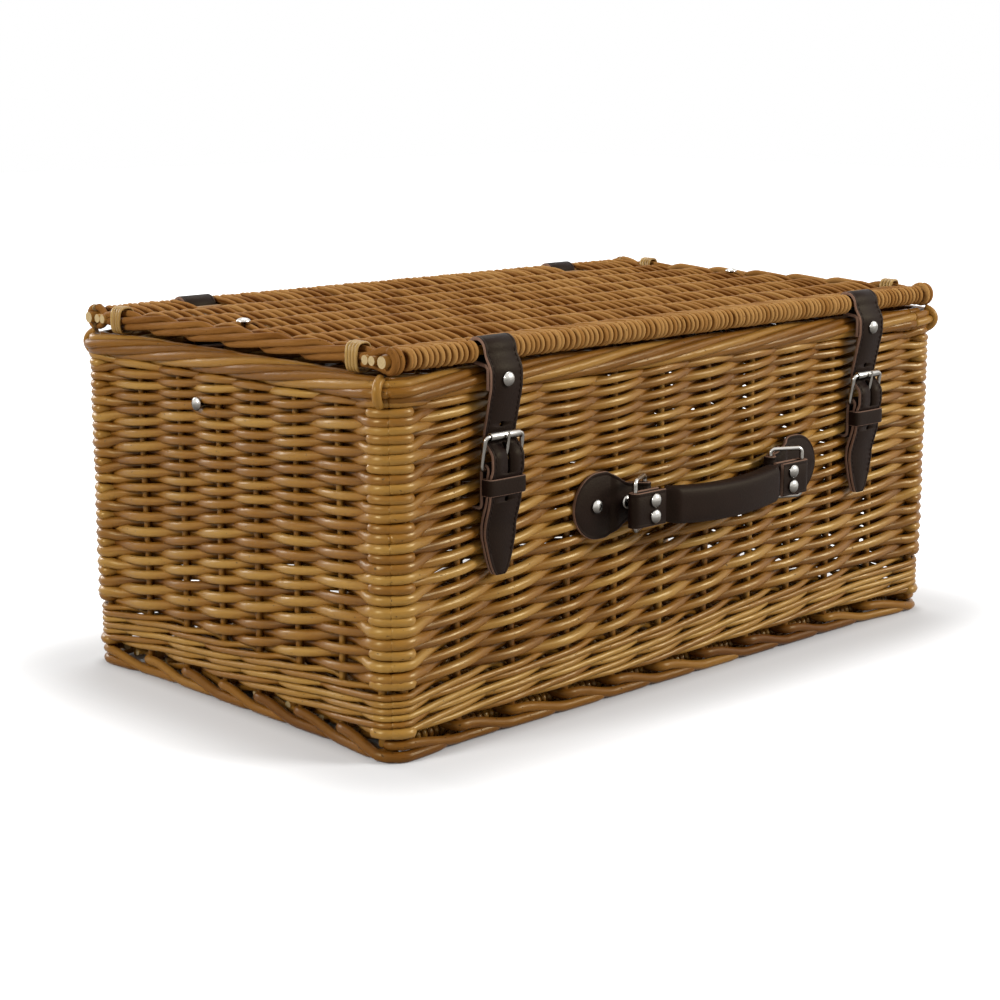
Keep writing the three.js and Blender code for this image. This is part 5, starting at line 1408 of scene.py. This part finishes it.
def rivet_mesh(seat, facing, grip):
    """A profile of radius and height turned round the rivet's axis; the head sits on the seat."""
    tail = TAIL_PROFILE + (0, -grip - 2 * CLEARANCE)
    profile = np.concatenate([tail, HEAD_PROFILE, dome_profile])[:, :, None, None]
    axis = np.array(facing, float)
    first = np.roll(axis, 1)
    turn = full_turn(RIVET_STEPS)[:, None]
    spoke = np.cos(turn) * first + np.sin(turn) * np.cross(axis, first)
    grid = (np.array(seat) + (profile[:, 1] + CLEARANCE) * axis + profile[:, 0] * spoke)[None]
    grid = turned_out(grid)[0]
    # painted reflection: the shade mark says how far each point faces up from a core behind the head
    return grid_mesh("rivet", grid, shade=facing_up(grid, np.array(seat) - SHADE_CORE * axis))


rivets = {}
for name, side in SIDES:
    x = side * STRAP_X
    rivets[f"strap_rivet_{name}"] = ((x, -face_y - STRAP_SEAT, STRAP_RIVET_Z), FRONT, STRAP_GRIP)
    rivets[f"hinge_rivet_{name}"] = ((x, face_y + HINGE_SEAT, HINGE_RIVET_Z), BACK, HINGE_SEAT + WALL)
    rivets[f"stay_wall_rivet_{name}"] = ((side * face_x, *STAY_WALL), (side, 0, 0), STAY_HIDE + WALL)
    rivets[f"stay_lid_rivet_{name}"] = (
        (side * STAY_LID_X, STAY_RIVET_Y, rail_z + STAY_RIVET_RISE), UP, STAY_LID_GRIP)
    for kind, from_middle, seat in TAB_RIVETS:
        rivets[f"handle_tab_rivet_{kind}_{name}"] = (
            (HANDLE_X + side * from_middle, -face_y - seat, HANDLE_Z), FRONT, seat + WALL)
    for kind, rise in GRIP_RIVETS:
        rivets[f"handle_rivet_{kind}_{name}"] = (
            (HANDLE_X + side * GRIP_RIVET_X, -face_y - GRIP_SEAT, LOOP_Z + rise), FRONT, LOOP_GRIP)
for node, rivet in rivets.items():
    add_piece(f"{node}_turned", rivet_mesh(*rivet), [nickel, nickel], [node])
print("rivets:", len(rivets))

# %% [markdown]
# The hamper stands on a white sweep under soft studio light: the strongest lamp at the front right, one
# on the left, and weak ones above and behind. The camera sees the world as white, and the floor is
# lifted to white with its distance from the walls, but not under the basket, where its shadow stays.

# %% Floor and light
FLOOR_HALF = 6.0
LAMPS = (("top", (0.65, 0.7, 2.2), 1.3, 20.0), ("front", (1.8, -2.4, 1.7), 1.2, 100.0),
         ("left", (-2.8, 0.2, 1.6), 0.9, 64.0), ("back", (-0.4, 3.1, 1.2), 1.0, 26.0))
LAMP_AIM = (0, 0, 0.1)
SKY = 0.22
FLOOR_GREY, FLOOR_ROUGH = 0.60, 0.9
FLOOR_LIFT = 0.19
LIFT_NEAR, LIFT_FAR = 0.02, 0.16


def grey(value):
    """A grey as a colour with alpha."""
    return (value, value, value, 1.0)


def floor_formula(wire):
    """Plain pale floor. What the camera sees of it is lifted towards white: not at all under the basket, a
    little beside it, and wholly at some distance, which is the length of what lies past the walls."""
    def vector(operation, *inputs, output=0):
        return wire.node("ShaderNodeVectorMath", {"operation": operation}, dict(enumerate(inputs)), output)
    seen = wire.node("ShaderNodeLightPath", output=0)
    beyond = vector("SUBTRACT", vector("ABSOLUTE", wire.spot()), (half_x * MM, half_y * MM, 0))
    away = vector("LENGTH", vector("MAXIMUM", beyond, (0, 0, 0)), output=1)
    beside = wire.step(away, 0, LIFT_NEAR)
    lift = FLOOR_LIFT * beside + (1 - FLOOR_LIFT) * wire.step(away, LIFT_NEAR, LIFT_FAR)
    glow = wire.blend(seen * lift, grey(0.0), grey(1.0))
    sockets = {"Base Color": grey(FLOOR_GREY), "Roughness": FLOOR_ROUGH, "Emission Color": glow,
               "Emission Strength": 1.0}
    return sockets, None, 0


floor_mesh = bpy.data.meshes.new("floor")
floor_corners = [(x * FLOOR_HALF, y * FLOOR_HALF, 0) for x, y in ((-1, -1), (1, -1), (1, 1), (-1, 1))]
floor_mesh.from_pydata(floor_corners, [], [(0, 1, 2, 3)])
floor_mesh.materials.append(finish("floor", floor_formula))
floor = new_object("floor", floor_mesh)

# %% Lamps and world
for name, spot, size, power in LAMPS:
    lamp = new_object(name, bpy.data.lights.new(name, "AREA"))
    lamp.data.shape = "DISK"
    lamp.data.size = size
    lamp.data.energy = power
    lamp.location = spot
    lamp.rotation_euler = aimed(Vector(LAMP_AIM) - Vector(spot))

world = bpy.data.worlds.new("studio")
world.use_nodes = True
world.node_tree.nodes.clear()
sky = Wire(world.node_tree)
direct, shine, through = (sky.node("ShaderNodeLightPath", output=i) for i in (0, 3, 6))
white = sky.blend(direct + shine + through, grey(SKY), grey(1.0))
backdrop = sky.node("ShaderNodeBackground", {}, {"Color": white, "Strength": 1.0})
sky.node("ShaderNodeOutputWorld", {}, {"Surface": backdrop})
bpy.context.scene.world = world
bpy.context.scene.view_settings.view_transform = "Standard"
print("lamps:", len(LAMPS))
